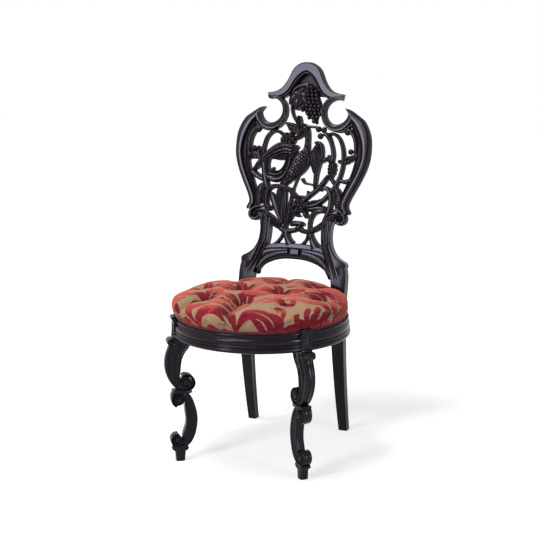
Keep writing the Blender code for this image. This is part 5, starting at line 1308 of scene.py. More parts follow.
@dataclass
class PiercedSplat:
    """The pierced carving between the hoops: scrolling stems, a bird, leaves, flowers and grapes."""

    chair: Chair
    stems: Sequence[tuple[StemCut, float, Points]] = (
        (StemCut.GROOVED, 0, (
            (-60, 834, 3.4), (-70, 842, 4.2), (-86, 845, 4.5), (-99, 837, 4.6), (-108, 824, 4.6),
            (-113, 808, 4.6), (-115, 792, 4.6), (-114, 776, 4.6), (-112, 760, 5))),
        (StemCut.FLAT, -2, (
            (-113, 765, 6), (-109, 745, 6.2), (-106, 725, 6.4), (-101, 705, 6.6), (-95, 688, 6))),
        (StemCut.SCROLL, 0, (
            (-97, 770, 4), (-101, 752, 5.5), (-100, 736, 8), (-92, 723, 11.5), (-77, 719, 15),
            (-60, 722, 13.5), (-48, 733, 10.5), (-41, 748, 8), (-37, 764, 7), (-34, 780, 6.5))),
        (StemCut.ROUND, 2, ((-92, 729, 4), (-85, 735, 3.8), (-80, 744, 2))),
        (StemCut.GROOVED, 2, (
            (-4, 662, 5), (-20, 677, 5.2), (-36, 687, 5.4), (-50, 691.5, 5.4), (-65, 692.5, 5.4),
            (-80, 690, 5.6), (-92, 681, 6), (-97, 667, 6.5), (-97, 650, 6.5), (-93, 636, 6.6),
            (-85, 629, 6.6), (-77, 633, 5))),
        (StemCut.ROUND, 1, (
            (-50, 576, 5), (-36, 570, 6.2), (-22, 570, 6.6), (-6, 573, 6), (6, 579, 5.4), (12, 587, 4))),
        (StemCut.GROOVED, 2, (
            (120, 624, 5), (108, 619, 6), (96, 610, 6.6), (84, 600, 6.8), (72, 590, 6.8), (58, 580, 6.8),
            (44, 574, 6.6), (30, 571, 6.2), (16, 573, 5.6), (6, 580, 4.6))),
        (StemCut.FLAT, 0, (
            (40, 573, 4.6), (38.5, 590, 4.6), (41, 607, 5), (48, 621, 5.6), (60, 629, 6.2), (76, 631, 6.2),
            (88, 627, 5))),
        (StemCut.FLAT, 2, (
            (62, 686, 3.4), (70, 693, 5), (82, 692, 5.4), (91, 682, 5.4), (95.5, 665, 5.4),
            (95.5, 648, 5.4), (92, 632, 5.4), (86, 616, 5), (80, 603, 4.4))),
        (StemCut.ROUND, 1, (
            (14, 655, 6), (32, 671, 5.8), (48, 684, 5.4), (60, 696, 5.4), (72, 712, 5.8), (82, 728, 4.4))),
        (StemCut.ROUND, 1, (
            (14, 640, 5), (40, 643, 6), (58, 650, 6), (74, 662, 5.6), (90, 680, 5.2), (104, 699, 5.2),
            (112, 716, 5), (118, 733, 4.8), (121.5, 752, 4.8), (122.5, 770, 4.8), (121.5, 786, 4.8),
            (119, 801, 4.6), (114, 816, 4.4), (107, 829, 4.2), (97, 838.5, 4.2), (86, 842.5, 4),
            (75, 841, 3.4))),
        (StemCut.FLAT, 2, (
            (62, 841, 5.4), (72, 838, 5.6), (80, 826, 4.8), (86, 812, 4.2), (90.5, 797, 4.2),
            (92.5, 782, 4.4), (91, 768, 4.4))),
        (StemCut.ROUND, 0, ((116, 716, 4.6), (132, 713, 5.4), (150, 719, 6))),
        (StemCut.FLAT, 3, ((-108, 709, 5.6), (-124, 717, 6.2), (-142, 729, 6.4))),
        (StemCut.ROUND, 2, ((4, 860, 3.2), (24, 860, 3), (46, 858, 3))),
        (StemCut.ROUND, 3, (
            (-38, 926, 3.6), (-38, 906, 3.4), (-33, 890, 3.2), (-25, 877, 3.4), (-15, 866, 4))),
        (StemCut.FLAT, 1, ((-27, 570, 6.4), (-25, 556, 6.6), (-20, 544, 8), (-13, 533, 11))),
        (StemCut.FLAT, 1, ((43, 570, 4.6), (47, 556, 5.6), (54, 542, 8), (62, 527, 12))),
        (StemCut.ROUND, -2, ((-37, 567, 4), (-44, 552, 4), (-54, 538, 4.4), (-70, 524, 4.8))),
        (StemCut.ROUND, -2, ((35, 568, 4), (33, 554, 3.8), (27, 543, 4), (16, 531, 4.2))),
        (StemCut.GROOVED, 0, (
            (-20, 690, 3.4), (-22, 660, 4), (-26, 630, 4.8), (-30, 600, 5), (-34, 577, 5))),
        (StemCut.ROUND, -1, ((-6, 722, 3.4), (-13, 702, 3), (-17.5, 686, 3), (-18, 670, 3.2))),
        (StemCut.ROUND, 0, ((6, 716, 4), (14, 705, 3.4), (28, 702, 2.8), (42, 699, 2.6), (58, 693, 2.6))),
        (StemCut.ROUND, 6, (
            (-50, 812, 2.8), (-66, 809, 3.2), (-82, 800.5, 3.2), (-98, 788, 3.2), (-112, 774, 3),
            (-124, 761, 2.4), (-134, 750, 1.6))),
        (StemCut.ROUND, 4, ((-44, 592, 1.8), (-45, 620, 2.4), (-46, 650, 2.6), (-48, 678, 2))),
        (StemCut.GROOVED, -1, ((-40, 590, 2.6), (-38, 620, 3.6), (-39, 650, 4.2), (-41, 686, 4))),
        (StemCut.ROUND, 4, ((2, 663, 2.4), (9, 667, 3), (17, 662, 3), (17, 653, 2.6), (10, 651, 2))),
        (StemCut.ROUND, 2, ((-151, 795, 2), (-145, 782, 2.8), (-137, 767, 2.4))),
        (StemCut.FLAT, 0, ((90, 720, 4), (98, 711, 4.6), (106, 702, 4))),
        (StemCut.ROUND, 3, (
            (36, 816, 2), (46, 818, 3.2), (55, 812, 3.4), (60, 798, 3.4), (61, 780, 3.2), (59, 762, 2.6))),
    )
    blades: Sequence[tuple[Cut, float, float, Points]] = (
        (Cut.SCALED, 0.6, 5, (
            (-44, 700, 7), (-31, 716, 12), (-16, 736, 20), (-3, 757, 25), (7, 777, 21), (13, 795, 10),
            (14.5, 815, 6.8), (13, 835, 7.4), (8, 850, 9.5), (0, 860, 9), (-8, 866, 4))),
        (Cut.FEATHERED, 0.5, 3, ((-24, 722, 10), (-40, 708, 11), (-56, 696, 5))),
        (Cut.FEATHERED, 0.5, 4, ((44, 810, 5), (40, 794, 10), (37, 774, 13), (39, 752, 9), (42, 732, 4))),
        (Cut.RIBBED, 0.6, 6, (
            (40, 812, 3), (49, 813, 5), (54.5, 803, 6), (56, 788, 6.4), (54, 768, 7), (50, 750, 6.4),
            (47, 732, 5.8), (46, 714, 5.2), (45, 698, 4), (45, 688, 2))),
        (Cut.FEATHERED, 0.35, 8, (
            (-26, 796, 14), (-46, 799, 17), (-64, 796, 17), (-84, 786, 14.5), (-103, 772, 11.5),
            (-121, 754, 8.5), (-134, 741, 5.5), (-144, 731, 1.5))),
        (Cut.FEATHERED, 0.4, 0, (
            (-28, 782, 8), (-48, 776, 9.5), (-66, 772, 8), (-80, 771, 5), (-93, 769, 2))),
        (Cut.VEINED, 0.5, 5, ((-4, 852, 7), (-20, 855, 10), (-34, 858, 11), (-45, 864, 7), (-53, 868, 2))),
        (Cut.VEINED, 0.5, 5, ((-6, 848, 7), (-20, 847, 10), (-33, 849, 8.5), (-43, 854, 3))),
        (Cut.PLAIN, 0.7, 1, ((-152, 786, 5), (-141, 784, 8), (-130, 780, 7), (-122, 776, 4))),
        (Cut.RIBBED, 0.6, 7, ((-9, 855, 6), (-13.5, 867, 7.6), (-15, 879, 7), (-14.5, 889, 3))),
        (Cut.RIBBED, 0.6, 6, ((5, 846, 7), (-8, 842, 8.5), (-20, 845, 7), (-29, 852, 3))),
        (Cut.VEINED, 0.5, 4, ((0, 838, 5), (-12, 832, 7), (-22, 824, 4))),
        (Cut.VEINED, 0.5, 5, ((-13, 806, 4), (-21, 797, 9), (-27, 784, 10), (-29, 770, 4))),
        (Cut.PLAIN, 0.35, 5, (
            (-46, 592, 3), (-56, 612, 6), (-65, 634, 8.4), (-74, 655, 9), (-81, 668, 6.5), (-86, 675, 2))),
        (Cut.RIBBED, 0.4, 4, (
            (-44, 586, 4), (-48, 612, 8), (-52, 640, 11), (-54, 664, 12.5), (-54, 682, 11), (-53, 692, 4))),
        (Cut.RIBBED, 0.4, 4, (
            (-35, 580, 5), (-26, 602, 8.5), (-17, 622, 10.5), (-8, 640, 9.5), (0, 653, 4))),
        (Cut.RIBBED, 0.4, 7, (
            (-114, 617, 6), (-98, 611, 11), (-82, 601, 13), (-66, 590, 10), (-52, 580, 7), (-40, 572, 3))),
        (Cut.HUSK, 0.6, 5, (
            (-104, 699, 5), (-112, 687, 11), (-116, 671, 12.5), (-116.5, 655, 12), (-116, 640, 8))),
        (Cut.HUSK, 0.6, 4, ((103, 699, 4), (112, 685, 9), (117, 669, 11), (118, 653, 11), (117, 638, 8))),
        (Cut.PLAIN, 0.8, 11, ((-112, 607, 3), (-105, 601, 4.4), (-97, 592, 3))),
        (Cut.PLAIN, 0.8, 11, ((-99, 617, 3), (-93, 609, 5), (-85, 598, 3.6))),
        (Cut.VEINED, 0.5, 10.5, ((82, 586, 3), (91, 596, 7), (101, 607, 6), (109, 613, 2))),
        (Cut.PLAIN, 0.8, 11, ((88, 590, 2), (95, 592, 4), (102, 598, 2))),
        (Cut.VEINED, 0.5, 6, ((10, 640, 5), (30, 646, 8), (48, 651, 8.4), (58, 656, 5), (64, 662, 1.6))),
        (Cut.PLAIN, 0.5, 0, ((18, 638, 8), (36, 636, 10.5), (56, 638, 9.5), (76, 637, 7.5), (91, 631, 3))),
        (Cut.RIBBED, 0.6, 5, ((-25, 675, 3), (-12, 668, 6.4), (0, 660, 6.6), (9, 651, 3))),
        (Cut.PLAIN, 0.7, 6, ((19, 628, 4), (24, 618, 6.6), (28, 607, 2.4))),
        (Cut.VEINED, 0.5, 5, ((-2, 634, 5), (-8, 624, 8), (2, 614, 5), (10, 612, 2))),
        (Cut.PLAIN, 0.8, 2, ((-18, 588, 6), (-6, 592, 7.4), (8, 592, 7.4), (18, 590, 6), (23, 589, 2))),
        (Cut.PLAIN, 0.7, 8, ((-2, 577, 3.6), (7, 580, 6), (17, 577, 3.6))),
        (Cut.PLAIN, 0.6, 2, ((28, 668, 4), (26, 676, 3.4), (24.5, 684, 1.4))),
        (Cut.VEINED, 0.45, 6, ((85, 769, 4), (91, 759, 10.5), (92, 745, 12), (91, 732, 9.5), (90, 717, 2))),
        (Cut.PLAIN, 0.8, 6, ((60, 764, 4), (70, 772, 6.4), (79, 771, 5), (85, 764, 3))),
        (Cut.PLAIN, 0.8, 7, ((78, 783, 3), (85, 777, 5.4), (91, 766, 4.4))),
        (Cut.VEINED, 0.5, 6, ((108, 768, 3), (122, 767, 9), (138, 774, 10), (158, 785, 4))),
        (Cut.PLAIN, 0.8, 2, ((-131, 802, 3), (-130, 788, 6.4), (-127, 774, 6), (-122, 760, 4))),
        (Cut.VEINED, 0.5, 4, ((-158, 768, 5), (-146, 772, 7), (-134, 772, 7), (-122, 770, 4))),
        (Cut.VEINED, 0.5, 3, ((14, 966, 5), (-4, 958, 15), (-22, 942, 16), (-38, 917, 4))),
        (Cut.VEINED, 0.5, 5, ((6, 962, 7), (-2, 944, 13), (-4, 928, 12), (4, 912, 3))),
        (Cut.PLAIN, 0.7, 9, ((-12, 953, 6), (-18, 938, 13), (-22, 922, 14), (-24, 904, 3))),
        (Cut.PLAIN, 0.7, 8, ((-14, 950, 5), (-28, 946, 10), (-38, 934, 9), (-44, 918, 3))),
        (Cut.PLAIN, 0.7, 8.5, ((-10, 950, 5), (-4, 940, 9), (2, 928, 8), (4, 914, 3))),
        (Cut.PLAIN, 0.1, -6, (
            (14, 972, 8), (16, 950, 15), (18, 935, 22), (19, 920, 27), (21, 905, 24), (27, 890, 15),
            (32, 877, 6), (35, 868, 3))),
        (Cut.PLAIN, 0.9, 6, ((-40, 944, 2.5), (-32, 962, 5), (-14, 972, 6), (6, 973, 6), (13, 962, 3))),
    )
    berries: Points = (
        (46, 853, 8.5), (62, 851.5, 8.5), (53, 834.5, 8.8), (144, 795, 8), (161, 783, 8.4), (-141, 795, 8),
        (-154, 776, 9), (45, 805, 6.6))
    flowers: Points = ((-43, 821, 22), (5, 641, 21))
    bird_eye: Triple = (3.0, 864.0, 13.0)
    bunch: Points = (
        (966, 15, 9), (950, 16, 17), (935, 18, 24), (920, 19, 30), (905, 21, 27), (890, 27, 17),
        (877, 32, 8), (866, 36, 3))
    grape: float = 6.3
    bunch_bulge: float = 11.0
    berry_level: float = 6.0
    fullness: float = 1.14

    def grapes(self) -> list[Surface]:
        """Hang the grapes in staggered rows, fuller and further forward towards the middle of each row.

        Returns:
            The grapes in the board's drawing.
        """
        chance = np.random.default_rng(7)
        levels = np.arange(self.bunch[0][0], self.bunch[-1][0] - 1, -1.62 * self.grape)
        marks = np.asarray(self.bunch, dtype=float)[::-1]
        found = []
        for order, level in enumerate(levels):
            middle = float(np.interp(level, marks[:, 0], marks[:, 1]))
            half = float(np.interp(level, marks[:, 0], marks[:, 2]))
            across = np.arange(-half, half + 0.1, 1.86 * self.grape) + (order % 2) * 0.9 * self.grape
            for offset in across[np.abs(across) <= half + 0.6 * self.grape]:
                bulge = self.bunch_bulge * math.sqrt(max(0.0, 1.0 - (offset / (half + 6.0)) ** 2))
                shift = chance.uniform(-0.7, 0.7, 3)
                centre = (middle + offset + shift[0], level + shift[1], bulge - 2.0 + 2.0 * shift[2])
                found.append(ball(centre, self.grape * (1.0 + 0.12 * shift[2]), 1.0, 10))
        return found

    def flower(self, x: float, y: float, size: float) -> list[Surface]:
        """Carve an open flower: two rings of cupped petals about a seeded heart.

        Args:
            x: its middle across.
            y: its middle up the board.
            size: radius to the petals' tips.

        Returns:
            Its petals and heart in the board's drawing.
        """
        petals = []
        for ring, (count, reach, lift) in enumerate(((6, 1.0, 5.0), (5, 0.62, 9.0))):
            for angle in np.linspace(0.0, 2 * math.pi, count, endpoint=False) + 0.5 * ring:
                across, up = size * reach * math.cos(angle), size * reach * math.sin(angle)
                spine = [(x + across * share, y + up * share, size * reach * width)
                         for share, width in ((0.15, 0.12), (0.5, 0.36), (0.82, 0.42), (1.0, 0.16))]
                petals.append(blade(spine, 0.9, lift, Cut.PLAIN, 15))
        return petals + [ball((x, y, 13.0), 0.26 * size, 0.7, 14)]

    def whole(self) -> Surface:
        """Join everything that the splat is carved with.

        Returns:
            The splat in the board's drawing.
        """
        parts = [ribbon([(x, y, self.fullness * half) for x, y, half in spine], cut.value, lift)
                 for cut, lift, spine in self.stems]
        parts += [blade(spine, belly, lift, cut) for cut, belly, lift, spine in self.blades]
        parts += [ball((x, y, self.berry_level), radius, 0.95, 16) for x, y, radius in self.berries]
        parts += [petal for x, y, size in self.flowers for petal in self.flower(x, y, size)]
        return joined(parts + self.grapes() + [ball(self.bird_eye, 1.8, 0.8, 10)])

    def build(self, shop: Workshop, wood: EbonisedWood) -> None:
        """Make the pierced splat in its wood."""
        splat = self.whole().mapped(self.chair.on_back)
        shop.piece("pierced_splat_carved", splat, wood, ["pierced_splat"], 48.0)


@dataclass
class RearLeg:
    """A sabre rear leg and the moulded stile that rises from it, one piece of wood."""

    chair: Chair
    section: Section = Section(closing((
        (0, 0, 8), (0, 0.3, 14), (0, 1.5, 15.3), (0, 3, 15.6), (1, -25, 15.6), (1, -24.2, 15), (1, -23.6, 10),
        (1, -21, 10), (1, -20.2, 14), (1, -18.2, 15.8), (1, -15, 16.4), (1, -11.8, 15.8), (1, -9.8, 14),
        (1, -9, 10), (1, -6.6, 10), (1, -6, 14.2), (1, -5, 15), (1, -2.2, 14.6), (1, -0.7, 13.2), (1, 0, 10),
        (1, 0, 4), (1, -0.9, 3), (1, -0.9, -3), (1, 0, -4))), 26.0)
    stile: Points = (
        (430, 117, 158), (452, 113, 157.5), (468, 106, 155.5), (477, 102, 153.5), (487, 97.5, 155),
        (495, 94, 149), (503, 90.5, 134), (514, 86, 121), (530, 80.5, 111), (547, 77.5, 105.5),
        (570, 76, 103.5), (588, 76, 105), (604, 76, 110))
    foot: Triple = (127.0, 151.0, 24.0)
    sweep_height: float = 400.0
    sweep_reach: float = 125.6
    board: float = 31.0
    plain_depth: float = 15.6
    carved_from: float = 446.0
    carved_over: float = 40.0

    def rings(self) -> Array:
        """Carry the section up the leg: a curve that swings back to the foot, then the raked board.

        Below the seat the middle line leaves the rake by reach * (1 - z / height)^1.4 and the section
        turns level, its mouldings fading out to a plain square.

        Returns:
            A grid of rings in the chair's frame, in millimetres.
        """
        chair = self.chair
        top = smooth([(v, outer, inner) for v, inner, outer in self.stile], 5)
        start = chair.rail_top + (self.stile[0][0] - chair.back_datum) * math.cos(chair.rake)
        height = np.linspace(0.0, start, 40, endpoint=False)
        share = height / start
        inner = self.foot[0] + (self.stile[0][1] - self.foot[0]) * share
        outer = self.foot[1] + (self.stile[0][2] - self.foot[1]) * share
        thick = np.concatenate([(self.foot[2] + (self.board - self.foot[2]) * share) / self.board,
                                np.ones(len(top))])
        across = np.concatenate([np.stack([outer, inner], axis=-1), top[:, 1:]])
        pairs = np.stack([across[:, 0], np.zeros(len(across)), across[:, 1], np.zeros(len(across))], axis=-1)
        grid = self.section.sweep(pairs, thick)
        fade = np.concatenate([np.full(len(height), -1.0), (top[:, 0] - self.carved_from) / self.carved_over])
        carve = np.clip(fade, 0.0, 1.0)
        plain = np.sign(grid[..., 2]) * np.minimum(np.abs(grid[..., 2]), self.plain_depth)
        rows = self.section.held()
        face = ((rows[:, 2] > 9.5) & ((rows[:, 0] > 0.0) | (rows[:, 1] > 2.9)))[None, :]
        flat = np.where(face, self.plain_depth * thick[:, None], plain)
        depth = flat + (grid[..., 2] - flat) * carve[:, None]
        board = chair.rail_top + (top[:, 0] - chair.back_datum) * math.cos(chair.rake)
        rise = np.concatenate([height, board])
        swing = self.sweep_reach * np.maximum(0.0, 1.0 - rise / self.sweep_height) ** 1.4
        middle = chair.back_at_rail + (rise - chair.rail_top) * math.tan(chair.rake) + swing
        tilt = chair.rake * np.concatenate([share ** 2, np.ones(len(top))])
        y = middle[:, None] - depth * np.cos(tilt)[:, None]
        z = rise[:, None] + depth * np.sin(tilt)[:, None]
        return np.stack([grid[..., 0], y, z], axis=-1)

    def build(self, shop: Workshop, wood: EbonisedWood) -> None:
        """Make both rear legs.

        Args:
            shop: where pieces are made.
            wood: their finish.
        """
        rings = self.rings()
        # Polish, and with it the wood's lighter colour and gloss, rises with height: the leg is darker and
        # duller towards the floor.
        polish = np.clip((rings[..., 2] + 60.0) / 480.0, 0.2, 1.0)
        leg = skin(rings * MM, polish)
        shop.piece("rear_leg_right_shaped", leg, wood, ["rear_leg_right"])
        shop.piece("rear_leg_left_shaped", leg.mapped(mirrored), wood, ["rear_leg_left"])


@dataclass
class FrontLeg:
    """A scroll front leg: knee block, two C-scrolls with their volutes, collars and block foot."""

    chair: Chair
    scroll_section: Section = Section(two_faced((
        (0, -0.9, 0), (0, -0.6, 0.18), (0, 0.4, 0.36), (0, 1.8, 0.5), (0, 1.6, 0.62), (0, 0.4, 0.82),
        (0, 1.2, 0.94), (0, 2.6, 1), (0, 6.2, 1), (0, 7.4, 0.95), (0, 8.4, 0.8), (0, 9.6, 0.76),
        (0.5, -1.8, 0.8), (0.5, -0.8, 0.92), (0.5, 1.2, 0.95), (0.5, 3, 0.9), (0.5, 4, 0.78),
        (1, -7.6, 0.74), (1, -6.6, 0.78), (1, -5.8, 0.93), (1, -4.8, 0.98), (1, -2.2, 0.98), (1, -1, 0.92),
        (1, -0.2, 0.8), (1, 0, 0.5))), 32.0, 15.0)
    upper: Pairs = (
        (244, 330, 187, 333), (245.5, 311, 188.5, 319), (250.5, 297, 195, 305), (255, 282, 205, 292),
        (257, 263, 212.5, 276), (255.5, 245, 215.5, 259), (250, 228, 217, 244), (243, 214, 219, 230),
        (233, 200.5, 217.5, 214), (220, 191, 210.5, 201.5), (204, 187, 199.5, 198.5),
        (189, 191.5, 190, 205.5), (179.5, 202, 187.5, 214), (178.5, 216, 191, 224), (186, 229, 198, 228.5),
        (197, 235, 205, 226.5), (207, 235.5, 209.5, 225.5), (214, 231.5, 212, 223))
    lower: Pairs = (
        (231, 146.5, 224, 152), (239, 155, 231, 157), (242.5, 168, 234.5, 165), (241, 181, 232.5, 173),
        (234, 189.5, 227, 178), (222, 192.5, 219, 179), (209, 190, 212, 174.5), (197, 183, 208.5, 166),
        (187.5, 170, 207.5, 154), (180.5, 153, 207, 141), (175, 132, 205.5, 126), (173, 110, 204, 110),
        (175.5, 88, 205.5, 95), (181, 67, 209.5, 82), (190, 50, 213, 70), (200, 41, 213.5, 59),
        (214, 36.5, 217.5, 49), (229, 37, 227, 45), (240, 43.5, 235.5, 49.5), (245, 56, 239, 58),
        (243, 67.5, 236, 66), (235, 75, 229, 70), (225, 76.5, 222, 69.5))
    eyes: Points = ((203, 213.5, 14.5), (221.5, 165, 13.5), (226.5, 57.5, 12.5))
    rolls: Points = ((233, 384.6, 6.6, 15.8, 1.4), (241, 322.5, 10.4, 16.4, 2))
    collars: Sequence[tuple[Pairs, float, float, int]] = (
        (((236.5, 193.5, 189.5, 191), (239, 190.5, 187, 188.5), (239, 188.5, 187, 186.5),
          (236.5, 185.5, 189.5, 184)), 14.2, 3.4, 5),
        (((233, 41.5, 202.5, 41.5), (239, 38.5, 198.6, 38.5), (241.5, 34.5, 196.6, 34.5),
          (239.5, 30.5, 198.6, 30.5), (233.5, 27.5, 204.5, 27.5)), 13.4, 7.0, 6),
        (((233.6, 29, 204.4, 29), (232.6, 22, 205.4, 22), (231.4, 10, 206.6, 10), (230.6, 1.2, 207.4, 1.2),
          (229.6, 0, 208.4, 0)), 10.4, 4.5, 3),
    )
    top_thickness: float = 30.5
    foot_thickness: float = 22.5
    knee_heights: tuple[float, float] = (329.0, 381.0)
    knee_half: float = 15.6
    knee_face: float = 235.6
    knee_back: float = 207.0
    knee_grid: tuple[int, int] = (44, 33)
    panel_half: float = 11.5
    panel_rise: float = 16.5
    panel_middle: float = 355.0
    panel_depth: float = 3.2
    leaf_foot: float = 337.0
    leaf_length: float = 34.0
    leaf_half: float = 9.5
    least_polish: float = 0.75

    def half(self, height: Array | float) -> Array:
        """Half thickness of the leg at a height, thinner towards the foot."""
        share = np.clip(np.asarray(height, dtype=float) / self.chair.rail_top, 0.0, 1.0)
        return 0.5 * (self.foot_thickness + (self.top_thickness - self.foot_thickness) * share)

    def scroll(self, pairs: Pairs) -> Surface:
        """Carve one C-scroll: the moulded ribbon between its two edge lines, curled in at its volutes.

        Args:
            pairs: the two edges, station by station.

        Returns:
            The scroll in the leg's drawing.
        """
        lines = smooth(pairs, 6)
        grid = self.scroll_section.sweep(lines, self.half(lines[:, 1]))
        return skin(grid, np.full(grid.shape[:2], 0.9))

    def block(self, pairs: Pairs, half: float, ease: float, spans: int) -> Surface:
        """Carve a plain block with eased edges between two edge lines.

        Args:
            pairs: the two edges, station by station.
            half: half thickness.
            ease: easing of the long edges.
            spans: samples between stations.

        Returns:
            The block in the leg's drawing.
        """
        corner = 0.3 * ease
        rows = two_faced(((0, 0, half - ease), (0, corner, half - corner), (0, ease, half), (1, -ease, half),
                          (1, -corner, half - corner), (1, 0, half - ease)))
        return strip(pairs, Section(rows, 8.0), spans=spans)

    def knee(self) -> Surface:
        """Carve the knee block: a face with a sunk panel that holds a leaf.

        The face is set back by a smooth step inside the panel's frame, and the leaf stands on it as
        a midrib with slanting veins.

        Returns:
            The block in the leg's drawing.
        """
        rows, columns = self.knee_grid
        height = np.linspace(*self.knee_heights, rows)[:, None]
        along = np.linspace(-self.knee_half, self.knee_half, columns)[None, :]
        side = np.abs(along)
        inside = soft_step(self.panel_half - side, 3.0)
        inside = inside * soft_step(self.panel_rise - np.abs(height - self.panel_middle), 3.0)
        grown = np.clip((height - self.leaf_foot) / self.leaf_length, 0.0, 1.0)
        outline = np.clip(1.0 - (side / (self.leaf_half * np.sqrt(grown) + 0.1)) ** 4, 0.0, 1.0)
        veins = 0.5 + 0.5 * np.cos(2 * math.pi * (height - 0.9 * side) / 6.5)
        rib = np.exp(-(along / 1.3) ** 2)
        leaf = inside * outline * (0.9 + 1.1 * veins * np.clip(side / 3.0, 0.0, 1.0) + 1.4 * rib)
        bow = self.knee_face + 2.4 * np.exp(-((height - 334.0) / 7.0) ** 2) - 1.6 * (along / 16.0) ** 4
        face = bow - self.panel_depth * inside + leaf
        front = np.stack([face, height + 0 * face, along + 0 * face], axis=-1)
        edges = np.broadcast_to([self.knee_half, -self.knee_half], (rows, 2))
        behind = np.stack([np.full((rows, 2), self.knee_back), height * np.ones((1, 2)), edges], axis=-1)
        # Less polish in the sunk panel, more on the leaf: through the wood's colour this is rubbed wear on
        # the raised wood and painted shade in the recess.
        polish = np.clip(1.0 - inside + 0.4 * leaf, 0.0, 1.0)
        return skin(np.concatenate([front, behind], axis=1),
                    np.concatenate([polish, np.zeros((rows, 2))], axis=1))

    def whole(self) -> Surface:
        """Join the scrolls, knee, eyes, rolls, collars and foot of a leg.

        Returns:
            The leg in its drawing.
        """
        parts = [self.scroll(self.upper), self.scroll(self.lower), self.knee()]
        parts += [boss((x, z), radius, float(self.half(z)) - 0.6, 2.6) for x, z, radius in self.eyes]
        parts += [boss((x, z), *sizes) for x, z, *sizes in self.rolls]
        parts += [self.block(*collar) for collar in self.collars]
        whole = joined(parts)
        return replace(whole, polish=np.maximum(whole.polish, self.least_polish))

    def build(self, shop: Workshop, wood: EbonisedWood) -> None:
        """Make both front legs.

        Args:
            shop: where pieces are made.
            wood: their finish.
        """
        leg = self.whole()
        for side in Side:
            name = f"front_leg_{side.name.lower()}"
            placed = leg.mapped(partial(self.chair.on_leg, side=side))
            shop.piece(f"{name}_carved", placed, wood, [name])


@dataclass
class SeatRing:
    """The four curved seat rails with their run moulding."""

    chair: Chair
    profile: Points = (
        (205.2, 333.4), (226, 333), (229.6, 333.4), (232, 334.6), (233.7, 337), (234.2, 339.8),
        (233.7, 342.6), (232.2, 344.8), (230.6, 346), (230.2, 347.6), (231.4, 348.4), (232.7, 349),
        (233.1, 350.4), (232.6, 351.8), (230.8, 352.6), (230.4, 353.4), (231.4, 355), (231.9, 358),
        (232, 361), (231.5, 364.5), (230.4, 366.6), (228.6, 368), (227.2, 370), (226.8, 372.4),
        (227.4, 374.2), (228.8, 375.2), (229.6, 376.4), (229.6, 378.8), (228.6, 380.4), (226.4, 381),
        (205.2, 381))
    runs: Sequence[tuple[str, float, float]] = (
        ("seat_rail_front", -138.4, -41.6), ("seat_rail_right", -34.4, 47.0),
        ("seat_rail_left", 133.0, 214.4), ("seat_rail_rear", 58.0, 122.0))
    station: float = 1.4
    hollow: float = 226.5
    rubbed: float = 3.5

    def rail(self, start: float, end: float) -> Surface:
        """Carry the moulding round the seat's axis from one angle to another.

        Args:
            start: first angle in degrees, from the right towards the back.
            end: last angle.

        Returns:
            The rail about the seat's axis, in millimetres.
        """
        rows = smooth(self.profile, 3)
        angle = np.radians(np.linspace(start, end, int(abs(end - start) / self.station) + 2))[:, None]
        grid = np.stack([rows[None, :, 0] * np.cos(angle), rows[None, :, 0] * np.sin(angle),
                         rows[None, :, 1] + 0.0 * angle], axis=-1)
        # Polish rises with the radius: the foremost mouldings get the lighter rubbed colour, the recessed
        # ones a darker colour that is painted shade besides the wear.
        polish = np.clip((rows[None, :, 0] - self.hollow) / self.rubbed, 0.1, 1.0) + 0.0 * angle
        return skin(grid, polish)

    def build(self, shop: Workshop, wood: EbonisedWood) -> None:
        """Make the four seat rails.

        Args:
            shop: where pieces are made.
            wood: their finish.
        """
        for node, start, end in self.runs:
            rail = self.rail(start, end).mapped(self.chair.on_seat)
            shop.piece(f"{node}_moulded", rail, wood, [node])


